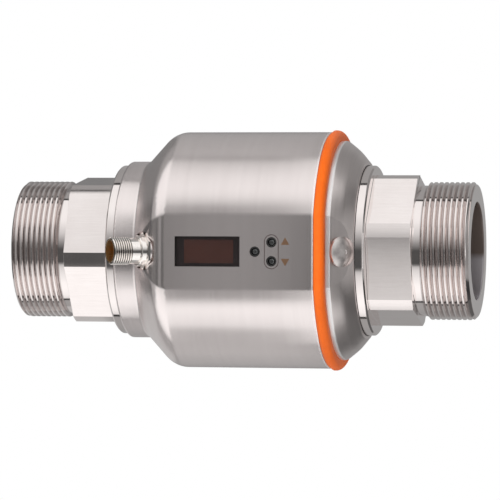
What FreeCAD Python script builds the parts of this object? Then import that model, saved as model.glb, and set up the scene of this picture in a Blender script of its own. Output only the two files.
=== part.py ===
import FreeCAD, Part
import os
import Sketcher

# In-line magnetic-inductive flow meter with threaded pipe ends, in millimetres.
# X runs along the pipe with the flow, the display looks to -Y and Z is up.
# The origin is on the pipe axis, halfway along the meter.

sizes = {
    # Pipe adapters: thread, hexagon, ring flange and spigot
    "meter_length": 200,
    "housing_length": 104.8,
    "bore_diameter": 42,
    "mouth_chamfer": 0.5,
    "thread_diameter": 59.614,
    "thread_length": 20,
    "thread_chamfer": 1.5,
    "relief_diameter": 56.4,
    "relief_width": 4.5,
    "hex_across_flats": 60,
    "hex_corner_diameter": 66,
    "flange_diameter": 73.6,
    "flange_thickness": 4,
    "flange_chamfer": 0.8,
    "spigot_diameter": 56,
    "spigot_length": 6.4,
    "counterbore_depth": 16.3,
    "inlet_clocking": 37.2,
    "outlet_clocking": 14,
    # Housing shell
    "wall": 2,
    "neck_diameter": 77,
    "neck_length": 9.4,
    "neck_edge_radius": 1.2,
    "neck_fillet": 2,
    "cone_angle": 47,
    "body_diameter": 102.6,
    "shoulder_radius": 10.5,
    "flat_depth": 2.5,
    "flat_edge_radius": 5,
    "facet_rise": 0.5,
    "rim_radius": 0.6,
    # Orange seal and end cover
    "seal_width": 5.9,
    "seal_rise": 2.7,
    "seal_proud": 0.8,
    "seal_edge_radius": 2.6,
    "cover_inset": 3.8,
    "cover_height": 11,
    "cover_lip": 1.8,
    "cover_lip_radius": 1.6,
    "cover_end_diameter": 76.8,
    "cover_crown": 0.64,
    "cover_crown_radius": 22,
    "cover_edge_radius": 1,
    # Closing plug on the cover
    "plug_lean": 9.3,
    "plug_rise": 6,
    "plug_sink": 0.4,
    "plug_head_diameter": 13,
    "plug_edge_height": 0.7,
    "plug_head_height": 2.4,
    "plug_crown_diameter": 6.4,
    "plug_socket_diameter": 4.4,
    "plug_socket_depth": 1.2,
    "plug_shank_diameter": 5,
    "plug_shank_length": 5,
    "plug_boss_diameter": 9.2,
    "plug_boss_depth": 2.2,
    "plug_washer_diameter": 9,
    "plug_washer_thickness": 0.5,
    # Clamp rings and tie rods
    "clamp_thickness": 5,
    "cover_clamp_gap": 0.5,
    "rod_diameter": 4,
    # Measuring tube and round seals
    "tube_wall": 3.5,
    "ring_groove_depth": 1.6,
    "ring_groove_width": 2.6,
    "ring_groove_inset": 5,
    "face_groove_diameter": 69,
    "face_groove_width": 2.4,
    "face_groove_depth": 1.7,
    # Electrodes
    "electrode_head_diameter": 6.8,
    "electrode_head_height": 1.2,
    "electrode_shank_diameter": 4,
    "electrode_length": 9,
    "electrode_land_depth": 0.7,
    "electrode_land_diameter": 10,
    "electrode_seal_diameter": 9,
    "electrode_seal_thickness": 1,
    "electrode_nut_across_flats": 7,
    "electrode_nut_thickness": 2.4,
    # Magnet system
    "pole_thickness": 1.6,
    "pole_angle": 80,
    "pole_length": 34,
    "yoke_gap": 1,
    "yoke_wall": 2,
    "yoke_length": 40,
    "yoke_angle": 230,
    "core_diameter": 10,
    "core_head_diameter": 14,
    "core_head_height": 1.2,
    "bobbin_diameter": 24,
    "bobbin_wall": 1,
    # Electronics behind the flat panel
    "board_left_gap": 2.8,
    "board_right_gap": 9.5,
    "board_height": 28,
    "board_thickness": 1,
    "board_screw_inset": 3,
    "board_screw_diameter": 2,
    "board_screw_head_diameter": 3.8,
    "board_screw_head_height": 1.2,
    "spacer_diameter": 3.6,
    "spacer_height": 1.4,
    "chip_height": 0.9,
    "processor_size": 10,
    "driver_size": 5,
    "driver_spacing": 9,
    "chip_spacing": 16,
    "carrier_plate": 1.3,
    "carrier_post_height": 1,
    "carrier_post_diameter": 4.4,
    "carrier_leg_length": 36,
    "carrier_leg_height": 6,
    "carrier_screw_diameter": 2,
    "carrier_screw_head_diameter": 3.8,
    "carrier_screw_head_height": 0.8,
    "header_length": 4,
    "header_width": 10,
    "lead_width": 6,
    "lead_thickness": 0.3,
    "lead_overlap": 3,
    # Display window
    "window_length": 28.1,
    "window_height": 12.8,
    "window_offset": -8.75,
    "window_flange": 1.4,
    "window_flange_thickness": 0.8,
    "window_recess": 0.1,
    "gasket_thickness": 0.3,
    # Push buttons
    "set_button_offset": 11.85,
    "key_offset": 19,
    "key_spacing": 8,
    "button_diameter": 2.9,
    "button_recess": 0.35,
    "button_flange_diameter": 4.8,
    "button_flange_thickness": 0.6,
    "button_flange_gap": 0.2,
    "button_tip": 0.15,
    "button_ring_diameter": 4.3,
    "button_ring_recess": 0.1,
    "button_travel": 0.6,
    "switch_size": 3.6,
    "switch_height": 1.2,
    "switch_plunger_diameter": 2,
    "switch_plunger_height": 0.3,
    # Connector on the shoulder
    "connector_tilt": 35,
    "connector_offset": -2.28,
    "connector_sink": 1.45,
    "connector_hex_across_flats": 14,
    "connector_hex_height": 1.2,
    "connector_hex_chamfer": 0.5,
    "connector_collar_diameter": 13.2,
    "connector_collar_length": 2.4,
    "connector_collar_chamfer": 0.3,
    "connector_neck_diameter": 11.2,
    "connector_neck_length": 4,
    "connector_thread_diameter": 12,
    "connector_thread_length": 8.3,
    "connector_thread_chamfer": 0.7,
    "connector_socket_diameter": 9.4,
    "connector_socket_depth": 9,
    "connector_core_diameter": 8,
    "connector_shank_diameter": 10.4,
    "connector_shank_length": 7,
    "connector_boss_diameter": 13.4,
    "connector_pad_diameter": 19,
    "connector_spot_diameter": 16.4,
    "connector_boss_depth": 5,
    "connector_seal_diameter": 13,
    "connector_seal_depth": 0.8,
    "insert_collar": 3,
    "insert_tail": 2,
    "pin_diameter": 1,
    "pin_circle_diameter": 5,
    "pin_length": 6.5,
    "pin_tail": 1.2,
    # Clearances
    "slide_gap": 0.1,
    "fit_gap": 0.05,
    "seat_gap": 0.02,
}

doc = FreeCAD.newDocument("flow_meter")
sheet = doc.addObject("Spreadsheet::Sheet", "dims")
for row, (word, value) in enumerate(sizes.items(), start=1):
    sheet.set(f"A{row}", word)
    sheet.set(f"B{row}", str(value))
    sheet.setAlias(f"B{row}", word)
doc.recompute()

# Places along the pipe, measured from the middle of the meter
pipe_end = "dims.meter_length / 2"
thread_start = f"({pipe_end} - dims.thread_length)"
relief_start = f"({thread_start} - dims.relief_width)"
flange_face = "(dims.housing_length / 2)"
hex_start = f"({flange_face} + dims.flange_thickness)"
spigot_end = f"({flange_face} - dims.spigot_length)"
counterbore_end = f"({spigot_end} + dims.counterbore_depth)"
tube_end = f"({counterbore_end} - dims.slide_gap)"
clamp_face = f"({flange_face} - dims.wall)"
cover_rim = f"({flange_face} - dims.cover_height)"
housing_rim = f"({cover_rim} - dims.seal_width)"
cone_start = f"(dims.neck_length - {flange_face})"

# Radii about the pipe axis
bore_radius = "(dims.bore_diameter / 2)"
tube_radius = f"({bore_radius} + dims.tube_wall)"
neck_radius = "(dims.neck_diameter / 2)"
body_radius = "(dims.body_diameter / 2)"
cover_radius = f"({body_radius} - dims.cover_inset)"
cover_end_radius = "(dims.cover_end_diameter / 2)"
spigot_radius = "(dims.spigot_diameter / 2)"
spigot_hole = "(dims.spigot_diameter + 2 * dims.fit_gap)"
rod_hole = "(dims.rod_diameter + 2 * dims.fit_gap)"
pole_radius = f"({tube_radius} + dims.fit_gap + dims.pole_thickness)"
clamp_radius = f"({neck_radius} - dims.wall - dims.slide_gap)"
rod_circle_radius = f"(({spigot_hole} / 2 + {clamp_radius}) / 2)"
yoke_inner_radius = f"({rod_circle_radius} + dims.rod_diameter / 2 + dims.yoke_gap)"
yoke_radius = f"({yoke_inner_radius} + dims.yoke_wall)"
# How far a tie rod stands from the pipe axis, both across and up
rod_offset = f"({rod_circle_radius} * cos(45))"

# Depths in front of the pipe axis, from the panel back to the electronics carrier
flat_distance = f"({body_radius} - dims.flat_depth)"
cover_flat = f"({flat_distance} - dims.cover_inset)"
panel_back = f"({flat_distance} - dims.wall)"
gasket_back = f"({panel_back} - dims.gasket_thickness)"
window_back = f"({gasket_back} - dims.window_flange_thickness)"
button_flange_back = f"({panel_back} - dims.button_flange_gap - dims.button_flange_thickness)"
button_back = f"({button_flange_back} - dims.button_tip)"
switch_front = f"({button_back} - dims.button_travel - dims.fit_gap)"
display_board_front = f"({switch_front} - dims.switch_plunger_height - dims.switch_height)"
display_board_back = f"({display_board_front} - dims.board_thickness)"
main_board_front = f"({display_board_back} - dims.spacer_height)"
main_board_back = f"({main_board_front} - dims.board_thickness)"
carrier_front = f"({main_board_back} - dims.carrier_post_height)"
carrier_back = f"({carrier_front} - dims.carrier_plate)"

# Where the connector and the plug stand: a point on the slope and the tilt of the axis
slope_length = f"({body_radius} - {neck_radius}) / sin(dims.cone_angle)"
connector_rise = f"({slope_length} / 2 + dims.connector_offset)"
connector_slope_x = f"({cone_start} + {connector_rise} * cos(dims.cone_angle))"
connector_slope_y = f"({neck_radius} + {connector_rise} * sin(dims.cone_angle))"
connector_x = f"({connector_slope_x} + dims.connector_sink * cos(dims.connector_tilt))"
connector_y = f"-({connector_slope_y} - dims.connector_sink * sin(dims.connector_tilt))"
connector_turn = "180 + dims.connector_tilt"
cover_slope_start = f"({cover_rim} + dims.cover_lip)"
cover_slope = f"atan(({cover_radius} - {cover_end_radius}) / ({flange_face} - {cover_slope_start}))"
cover_wall_shift = f"(dims.wall * tan({cover_slope} / 2))"
cover_inner_radius = f"({cover_end_radius} - {cover_wall_shift})"
cover_clamp_radius = f"({cover_inner_radius} - dims.cover_clamp_gap)"
plug_tilt = f"(90 deg - {cover_slope} - dims.plug_lean * 1 deg)"
plug_x = f"({flange_face} - dims.plug_rise * cos({cover_slope}) - dims.plug_sink * cos({plug_tilt}))"
plug_y = f"-({cover_end_radius} + dims.plug_rise * sin({cover_slope}) - dims.plug_sink * sin({plug_tilt}))"

# The boards reach from just behind the connector pins to just short of the housing rim
pin_depth = "(dims.connector_shank_length + dims.insert_tail + dims.pin_tail)"
pin_spread = "((dims.pin_circle_diameter + dims.pin_diameter) / 2)"
pins_reach = f"{pin_depth} * cos(dims.connector_tilt) + {pin_spread} * sin(dims.connector_tilt)"
board_left = f"({connector_x} + {pins_reach} + dims.board_left_gap)"
board_right = f"({housing_rim} - dims.board_right_gap)"
board_middle = f"({board_left} + {board_right}) / 2"
board_length = f"({board_right} - {board_left})"

# Places of repeated pieces
sides = (-1, 1)
board_screw_places = [
    (x, f"{up} * (dims.board_height / 2 - dims.board_screw_inset)")
    for x in (f"{board_left} + dims.board_screw_inset", f"{board_right} - dims.board_screw_inset")
    for up in sides
]
# Chips on the main board: across, up and size
chip_places = [
    (f"{board_middle} - dims.chip_spacing / 2", "0", "dims.processor_size"),
    (f"{board_middle} + dims.chip_spacing / 2", "dims.driver_spacing / 2", "dims.driver_size"),
    (f"{board_middle} + dims.chip_spacing / 2", "-dims.driver_spacing / 2", "dims.driver_size"),
]
button_places = {
    "set_button": ("dims.set_button_offset", "0"),
    "up_button": ("dims.key_offset", "dims.key_spacing / 2"),
    "down_button": ("dims.key_offset", "-dims.key_spacing / 2"),
}
screw_hole = "(dims.board_screw_diameter + 2 * dims.fit_gap)"
carrier_screw_hole = "(dims.carrier_screw_diameter + 2 * dims.fit_gap)"
pin_places = [
    (f"dims.pin_circle_diameter / 2 * cos({angle})", f"dims.pin_circle_diameter / 2 * sin({angle})")
    for angle in (45, 135, 225, 315)
]

# Two places closer than this count as the same
same_place = 0.001

pieces = []


def number(expression):
    return float(sheet.evalExpression(expression))


def piece(label, thing):
    thing.Label = label
    pieces.append(thing)
    return thing


def sketch_on(body, role, start="0"):
    # A sketch on one of the body's own planes, moved along the plane's normal by start
    plane = next(feature for feature in body.Origin.OriginFeatures if feature.Role == role)
    sketch = body.newObject("Sketcher::SketchObject", f"{body.Name}_sketch")
    sketch.AttachmentSupport = [(plane, "")]
    sketch.MapMode = "FlatFace"
    sketch.setExpression("AttachmentOffset.Base.z", start)
    return sketch


def bind(sketch, kind, corner, value):
    # One dimension of a sketch point or circle, tied to its expression
    name = f"{kind}{corner[0]}"
    origin = () if kind == "Radius" else (-1, 1)
    index = sketch.addConstraint(Sketcher.Constraint(kind, *origin, *corner, number(value)))
    sketch.renameConstraint(index, name)
    sketch.setExpression(f"Constraints.{name}", value)


def polygon(sketch, points):
    first = sketch.GeometryCount
    places = [FreeCAD.Vector(number(x), number(y), 0) for x, y in points]
    for start, end in zip(places, places[1:] + places[:1]):
        sketch.addGeometry(Part.LineSegment(start, end), False)
    for side, (x, y) in enumerate(points):
        following = (side + 1) % len(points)
        sketch.addConstraint(Sketcher.Constraint("Coincident", first + side, 2, first + following, 1))
        bind(sketch, "DistanceX", (first + side, 1), x)
        bind(sketch, "DistanceY", (first + side, 1), y)


def rectangle(sketch, x, y, width, height):
    left, right = f"{x} - ({width}) / 2", f"{x} + ({width}) / 2"
    low, high = f"{y} - ({height}) / 2", f"{y} + ({height}) / 2"
    polygon(sketch, [(left, low), (right, low), (right, high), (left, high)])


def hexagon(sketch, across_flats, turn=0):
    # A regular hexagon about the sketch origin, its first corner at the angle turn
    angles = [turn + 60 * corner for corner in range(6)]
    radius = f"{across_flats} / sqrt(3)"
    polygon(sketch, [(f"{radius} * cos({angle})", f"{radius} * sin({angle})") for angle in angles])


def circle(sketch, x, y, diameter):
    centre = FreeCAD.Vector(number(x), number(y), 0)
    round_edge = Part.Circle(centre, FreeCAD.Vector(0, 0, 1), number(f"{diameter} / 2"))
    index = sketch.addGeometry(round_edge, False)
    bind(sketch, "DistanceX", (index, 3), x)
    bind(sketch, "DistanceY", (index, 3), y)
    bind(sketch, "Radius", (index,), f"{diameter} / 2")


def turned(name, points, role="XY_Plane", axis="H_Axis", angle="360"):
    # A body turned about an axis of its sketch plane
    body = doc.addObject("PartDesign::Body", name)
    sketch = sketch_on(body, role)
    polygon(sketch, points)
    turning = body.newObject("PartDesign::Revolution", f"{name}_turning")
    turning.Profile = sketch
    turning.ReferenceAxis = (sketch, [axis])
    turning.Midplane = True
    turning.setExpression("Angle", angle)
    doc.recompute()
    return body


def padded(name, role, start, length, draw):
    # A body padded from a sketch that draw fills in
    body = doc.addObject("PartDesign::Body", name)
    sketch = sketch_on(body, role, start)
    draw(sketch)
    pad = body.newObject("PartDesign::Pad", f"{name}_pad")
    pad.Profile = sketch
    pad.setExpression("Length", length)
    doc.recompute()
    return body


def pocketed(body, role, length, draw, start="0", both_ways=True):
    # A cut through the body from a sketch that draw fills in
    before = body.Shape.Volume
    sketch = sketch_on(body, role, start)
    draw(sketch)
    pocket = body.newObject("PartDesign::Pocket", f"{body.Name}_pocket")
    pocket.Profile = sketch
    pocket.Midplane = both_ways
    pocket.setExpression("Length", length)
    doc.recompute()
    if body.Shape.Volume >= before:
        raise RuntimeError(f"{body.Name}: a pocket cut nothing")
    return pocket


def rounded(body, radius, picks):
    # Rounds the edges of the body that picks accepts
    base = body.Tip
    edges = [f"Edge{index}" for index, edge in enumerate(base.Shape.Edges, start=1) if picks(edge)]
    if not edges:
        raise RuntimeError(f"{body.Name}: no edge to round")
    fillet = body.newObject("PartDesign::Fillet", f"{body.Name}_round")
    fillet.Base = (base, edges)
    fillet.setExpression("Radius", radius)
    doc.recompute()


def ring_edge(x, radius):
    # Picks the full circle about the pipe axis at this place
    place, size = number(x), number(radius)

    def picks(edge):
        box = edge.BoundBox
        flat = box.XLength < same_place and abs(box.XMin - place) < same_place
        return flat and abs(box.ZMax - size) < same_place and abs(box.YMax - size) < same_place

    return picks


def edges_at_x(x):
    # Picks the edges that lie in this plane across the pipe
    place = number(x)
    return lambda edge: abs(edge.BoundBox.XMin - place) < same_place and edge.BoundBox.XLength < same_place


def panel_edges(distance):
    # Picks the edges round a flat panel this far in front of the pipe axis, but not across its ends
    place = -number(distance)
    return lambda edge: edge.BoundBox.YMax < place + 0.01 and edge.BoundBox.XLength > 0.1


def placed(thing, x="0", y="0", z="0", axis=None, angle="0"):
    # Binds the place of a piece, and its turn about one axis, which a turn of zero would lose
    if axis is not None:
        thing.Placement.Rotation = FreeCAD.Rotation(FreeCAD.Vector(*axis), 0.001)
        thing.setExpression("Placement.Rotation.Angle", angle)
    for name, value in zip("xyz", (x, y, z)):
        thing.setExpression(f"Placement.Base.{name}", value)
    return thing


def rod(name, diameter, length, x="0", y="0", z="0", along="x"):
    # A round bar from the given point along the pipe, to the front or upwards
    turns = {"x": ((0, 1, 0), "90"), "front": ((1, 0, 0), "90"), "z": (None, "0")}
    bar = doc.addObject("Part::Cylinder", name)
    bar.setExpression("Radius", f"{diameter} / 2")
    bar.setExpression("Height", length)
    axis, angle = turns[along]
    return placed(bar, x, y, z, axis, angle)


def rubber_ring(label, x, diameter, thickness):
    # A ring about the pipe axis, its round section squeezed to eight sides, a little thinner than its space
    half = f"({thickness} / 2 - dims.seat_gap)"
    reach = f"{half} / cos(22.5)"
    middle = f"{diameter} / 2"
    angles = [22.5 + 45 * corner for corner in range(8)]
    points = [(f"{x} + {reach} * cos({angle})", f"{middle} + {reach} * sin({angle})") for angle in angles]
    return piece(label, turned(label, points))


def cut(name, base, *tools):
    result = doc.addObject("Part::Cut", name)
    result.Base = base
    result.Tool = tools[0] if len(tools) == 1 else fused(f"{name}_tools", *tools)
    return result


def fused(name, *things):
    result = doc.addObject("Part::MultiFuse", name)
    result.Shapes = list(things)
    return result


def common(name, first, second):
    result = doc.addObject("Part::MultiCommon", name)
    result.Shapes = [first, second]
    return result


def group(label, things):
    # Several loose solids that share one file
    result = doc.addObject("Part::Compound", label)
    result.Links = things
    return piece(label, result)


def flat_sided(name, profile, front, rounds=()):
    # A turned body, its round edges softened, whose front is cut away beyond the line of points front
    body = turned(name, profile)
    for size, x, radius in rounds:
        rounded(body, size, ring_edge(x, radius))
    far = "2 * dims.body_diameter"
    outline = front + [(front[-1][0], f"-{far}"), (front[0][0], f"-{far}")]
    pocketed(body, "XY_Plane", far, lambda sketch: polygon(sketch, outline))
    return body


def pipe_adapter(label, side, clocking):
    # Thread, hexagon, ring flange and spigot in one turned piece; side is 1 or -1 along the pipe
    half_hex = "dims.hex_corner_diameter / 2"
    thread_radius = "dims.thread_diameter / 2"
    relief_radius = "dims.relief_diameter / 2"
    flange_radius = "dims.flange_diameter / 2"
    seat_radius = f"({tube_radius} + dims.slide_gap)"
    groove_inner = "(dims.face_groove_diameter - dims.face_groove_width) / 2"
    groove_outer = "(dims.face_groove_diameter + dims.face_groove_width) / 2"
    groove_floor = f"{flange_face} + dims.face_groove_depth"
    profile = [
        (pipe_end, f"{bore_radius} + dims.mouth_chamfer"),
        (pipe_end, f"{thread_radius} - dims.thread_chamfer"),
        (f"{pipe_end} - dims.thread_chamfer", thread_radius),
        (thread_start, thread_radius),
        (f"{thread_start} - ({thread_radius} - {relief_radius}) / 2", relief_radius),
        (relief_start, relief_radius),
        (relief_start, half_hex),
        (hex_start, half_hex),
        (hex_start, f"{flange_radius} - dims.flange_chamfer"),
        (f"{hex_start} - dims.flange_chamfer", flange_radius),
        (flange_face, flange_radius),
        (flange_face, groove_outer),
        (groove_floor, groove_outer),
        (groove_floor, groove_inner),
        (flange_face, groove_inner),
        (flange_face, spigot_radius),
        (spigot_end, spigot_radius),
        (spigot_end, seat_radius),
        (counterbore_end, seat_radius),
        (counterbore_end, bore_radius),
        (f"{pipe_end} - dims.mouth_chamfer", bore_radius),
    ]
    body = turned(label, [(f"{side} * ({x})", radius) for x, radius in profile])

    def flat_side(sketch):
        near, far = "dims.hex_across_flats / 2", "dims.hex_corner_diameter"
        low, high = f"{side} * {hex_start}", f"{side} * {relief_start}"
        polygon(sketch, [(low, near), (high, near), (high, far), (low, far)])

    pocket = pocketed(body, "XY_Plane", "2 * dims.hex_corner_diameter", flat_side)
    pattern = body.newObject("PartDesign::PolarPattern", f"{label}_flats")
    pattern.Originals = [pocket]
    pattern.Axis = (pocket.Profile[0], ["H_Axis"])
    pattern.Angle = 360
    pattern.Occurrences = 6
    body.Tip = pattern
    doc.recompute()
    piece(label, placed(body, axis=(1, 0, 0), angle=clocking))


def flange_seal(label, side):
    # Ring in the groove of a ring flange, against the end wall
    x = f"{side} * ({flange_face} + dims.face_groove_depth / 2)"
    rubber_ring(label, x, "dims.face_groove_diameter", "dims.face_groove_depth")


def clamp_ring(label, start, radius):
    # Threaded ring behind an end wall: the spigot and the four tie rods screw into it

    def face(sketch):
        circle(sketch, "0", "0", f"(2 * {radius})")
        circle(sketch, "0", "0", spigot_hole)
        for across in sides:
            for up in sides:
                circle(sketch, f"{across} * {rod_offset}", f"{up} * {rod_offset}", rod_hole)

    piece(label, padded(label, "YZ_Plane", start, "dims.clamp_thickness", face))


def tie_rods():
    # Four rods between the clamp rings; the front two have a cross hole for the carrier screws
    length = f"2 * {clamp_face}"
    rods = []
    for up in sides:
        z = f"{up} * {rod_offset}"
        rods.append(rod("rear_tie_rod", "dims.rod_diameter", length, f"-{clamp_face}", rod_offset, z))
        front_rod = rod("front_rod_blank", "dims.rod_diameter", length, f"-{clamp_face}", f"-{rod_offset}", z)
        cross_hole = rod("rod_cross_hole", carrier_screw_hole, f"2 * {rod_offset}", "0", "0", z, "front")
        rods.append(cut("front_tie_rod", front_rod, cross_hole))
    group("tie_rods", rods)


def on_shoulder(thing):
    return placed(thing, connector_x, connector_y, axis=(0, 0, 1), angle=connector_turn)


def on_cover(thing):
    return placed(thing, plug_x, plug_y, axis=(0, 0, -1), angle=plug_tilt)


def stub(name, diameter, start, end):
    # A round bar along its own X axis, to be placed on a slope
    return turned(name, [(start, "0"), (end, "0"), (end, f"{diameter} / 2"), (start, f"{diameter} / 2")])


def housing():
    # Pressed shell: neck, sloping shoulder and round body with one flat panel
    end_wall = f"-{flange_face}"
    cone_length = f"({body_radius} - {neck_radius}) / tan(dims.cone_angle)"
    cone_end = f"({cone_start} + {cone_length})"
    outer = flat_sided(
        "housing_outside",
        [
            (end_wall, "0"),
            (end_wall, neck_radius),
            (cone_start, neck_radius),
            (cone_end, body_radius),
            (housing_rim, body_radius),
            (housing_rim, "0"),
        ],
        [
            (cone_start, f"-({neck_radius} + dims.facet_rise)"),
            (cone_end, f"-{flat_distance}"),
            (housing_rim, f"-{flat_distance}"),
        ],
        [
            ("dims.neck_edge_radius", end_wall, neck_radius),
            ("dims.neck_fillet", cone_start, neck_radius),
            ("dims.shoulder_radius", cone_end, body_radius),
        ],
    )
    rounded(outer, "dims.shoulder_radius", edges_at_x(cone_end))
    rounded(outer, "dims.flat_edge_radius", panel_edges(flat_distance))
    rounded(outer, "dims.rim_radius", edges_at_x(housing_rim))
    shift = "dims.wall * tan(dims.cone_angle / 2)"
    inner_wall = f"(dims.wall - {flange_face})"
    inner = flat_sided(
        "housing_inside",
        [
            (inner_wall, "0"),
            (inner_wall, f"{neck_radius} - dims.wall"),
            (f"{cone_start} + {shift}", f"{neck_radius} - dims.wall"),
            (f"{cone_end} + {shift}", f"{body_radius} - dims.wall"),
            (f"{housing_rim} + dims.wall", f"{body_radius} - dims.wall"),
            (f"{housing_rim} + dims.wall", "0"),
        ],
        [
            (f"{cone_start} + {shift}", f"-({neck_radius} + dims.facet_rise - dims.wall)"),
            (f"{cone_end} + {shift}", f"-{panel_back}"),
            (f"{housing_rim} + dims.wall", f"-{panel_back}"),
        ],
    )
    shell = cut("housing_shell", outer, inner)
    depth = "-dims.connector_boss_depth"
    pad = on_shoulder(stub("connector_pad", "dims.connector_pad_diameter", depth, "2 * dims.wall"))
    boss = on_shoulder(stub("connector_boss", "dims.connector_boss_diameter", depth, "0"))
    solid = fused("housing_solid", shell, common("connector_pad_trimmed", pad, outer), boss)
    spot = on_shoulder(stub("connector_spot", "dims.connector_spot_diameter", "0", "dims.body_diameter / 4"))
    hole_diameter = "(dims.connector_shank_diameter + 2 * dims.fit_gap)"
    hole = on_shoulder(stub("connector_hole", hole_diameter, f"2 * {depth}", "dims.wall"))
    mouth = rod("spigot_hole", spigot_hole, "2 * dims.wall", f"{end_wall} - dims.wall / 2")

    def window_opening(sketch):
        rectangle(sketch, "dims.window_offset", "0", "dims.window_length", "dims.window_height")

    reach = "2 * dims.wall"
    window = padded("window_opening", "XZ_Plane", f"{panel_back} - dims.wall / 2", reach, window_opening)
    tools = [spot, hole, mouth, window]
    ring_hole = "(dims.button_ring_diameter + 2 * dims.fit_gap)"
    for x, z in button_places.values():
        tools.append(rod("button_hole", ring_hole, reach, x, f"-({panel_back} - dims.wall / 2)", z, "front"))
    piece("housing", cut("housing", solid, *tools))


def cover_seal():
    # Orange ring between the housing and the cover: it rises to a proud band with a round shoulder
    band_start = f"{housing_rim} + dims.seal_rise"
    band_radius = f"{body_radius} + dims.seal_proud"
    band_flat = f"-({flat_distance} + dims.seal_proud)"
    outer = flat_sided(
        "seal_outside",
        [
            (housing_rim, "0"),
            (housing_rim, body_radius),
            (band_start, band_radius),
            (cover_rim, band_radius),
            (cover_rim, "0"),
        ],
        [(housing_rim, f"-{flat_distance}"), (band_start, band_flat), (cover_rim, band_flat)],
    )
    rounded(outer, "dims.flat_edge_radius", panel_edges(flat_distance))
    rounded(outer, "dims.seal_edge_radius", edges_at_x(cover_rim))
    inner_radius = f"{cover_radius} - dims.wall"
    ends = (f"{housing_rim} - dims.wall", f"{cover_rim} + dims.wall")
    inner = flat_sided(
        "seal_inside",
        [(ends[0], "0"), (ends[0], inner_radius), (ends[1], inner_radius), (ends[1], "0")],
        [(end, f"-({cover_flat} - dims.wall)") for end in ends],
    )
    piece("cover_seal", cut("cover_seal", outer, inner))


def end_cover():
    # Domed cover with a rounded lip that presses on the seal
    # The slope bulges outwards, square to its own line
    middle = f"({flange_face} + {cover_slope_start}) / 2 + dims.cover_crown * sin({cover_slope})"
    middle_radius = f"({cover_radius} + {cover_end_radius}) / 2 + dims.cover_crown * cos({cover_slope})"
    outer = flat_sided(
        "cover_outside",
        [
            (cover_rim, "0"),
            (cover_rim, cover_radius),
            (cover_slope_start, cover_radius),
            (middle, middle_radius),
            (flange_face, cover_end_radius),
            (flange_face, "0"),
        ],
        [
            (cover_rim, f"-{cover_flat}"),
            (cover_slope_start, f"-{cover_flat}"),
            (flange_face, f"-({cover_end_radius} + dims.facet_rise)"),
        ],
        [
            ("dims.cover_crown_radius", middle, middle_radius),
            ("dims.cover_lip_radius", cover_slope_start, cover_radius),
            ("dims.cover_edge_radius", flange_face, cover_end_radius),
        ],
    )
    rounded(outer, "dims.cover_lip_radius", edges_at_x(cover_slope_start))
    inner_radius = f"{cover_radius} - dims.wall"
    before = f"{cover_rim} - dims.wall"
    inner = flat_sided(
        "cover_inside",
        [
            (before, "0"),
            (before, inner_radius),
            (f"{cover_slope_start} - {cover_wall_shift}", inner_radius),
            (clamp_face, cover_inner_radius),
            (clamp_face, "0"),
        ],
        [
            (before, f"-({cover_flat} - dims.wall)"),
            (f"{cover_slope_start} - {cover_wall_shift}", f"-({cover_flat} - dims.wall)"),
            (clamp_face, f"-({cover_inner_radius} + dims.facet_rise)"),
        ],
    )
    shell = cut("cover_shell", outer, inner)
    boss = on_cover(stub("plug_boss", "dims.plug_boss_diameter", "-dims.plug_boss_depth", "dims.wall"))
    solid = fused("cover_solid", shell, common("plug_boss_trimmed", boss, outer))
    spot_diameter = "(dims.plug_head_diameter + 2 * dims.slide_gap)"
    spot = on_cover(stub("plug_spot", spot_diameter, "0", "dims.body_diameter / 4"))
    hole_diameter = "(dims.plug_shank_diameter + 2 * dims.fit_gap)"
    hole = on_cover(stub("plug_hole", hole_diameter, "-2 * dims.plug_boss_depth", "dims.wall"))
    mouth = rod("cover_mouth", spigot_hole, "2 * dims.wall", f"{clamp_face} - dims.wall / 2")
    piece("end_cover", cut("end_cover", solid, spot, hole, mouth))


def cover_plug():
    # Round-headed plug with a socket, on a flat washer
    head = "dims.plug_washer_thickness"
    edge = f"{head} + dims.plug_edge_height"
    top = f"{head} + dims.plug_head_height"
    socket = "dims.plug_socket_diameter / 2"
    profile = [
        (f"{head} - dims.plug_shank_length", "0"),
        (f"{head} - dims.plug_shank_length", "dims.plug_shank_diameter / 2"),
        (head, "dims.plug_shank_diameter / 2"),
        (head, "dims.plug_head_diameter / 2"),
        (edge, "dims.plug_head_diameter / 2"),
        (top, "dims.plug_crown_diameter / 2"),
        (top, socket),
        (f"{top} - dims.plug_socket_depth", socket),
        (f"{top} - dims.plug_socket_depth", "0"),
    ]
    piece("cover_plug", on_cover(turned("cover_plug", profile)))
    inner = "dims.plug_shank_diameter / 2 + dims.fit_gap"
    outer = "dims.plug_washer_diameter / 2"
    washer = turned("plug_seal", [("0", inner), (head, inner), (head, outer), ("0", outer)])
    piece("plug_seal", on_cover(washer))


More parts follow.
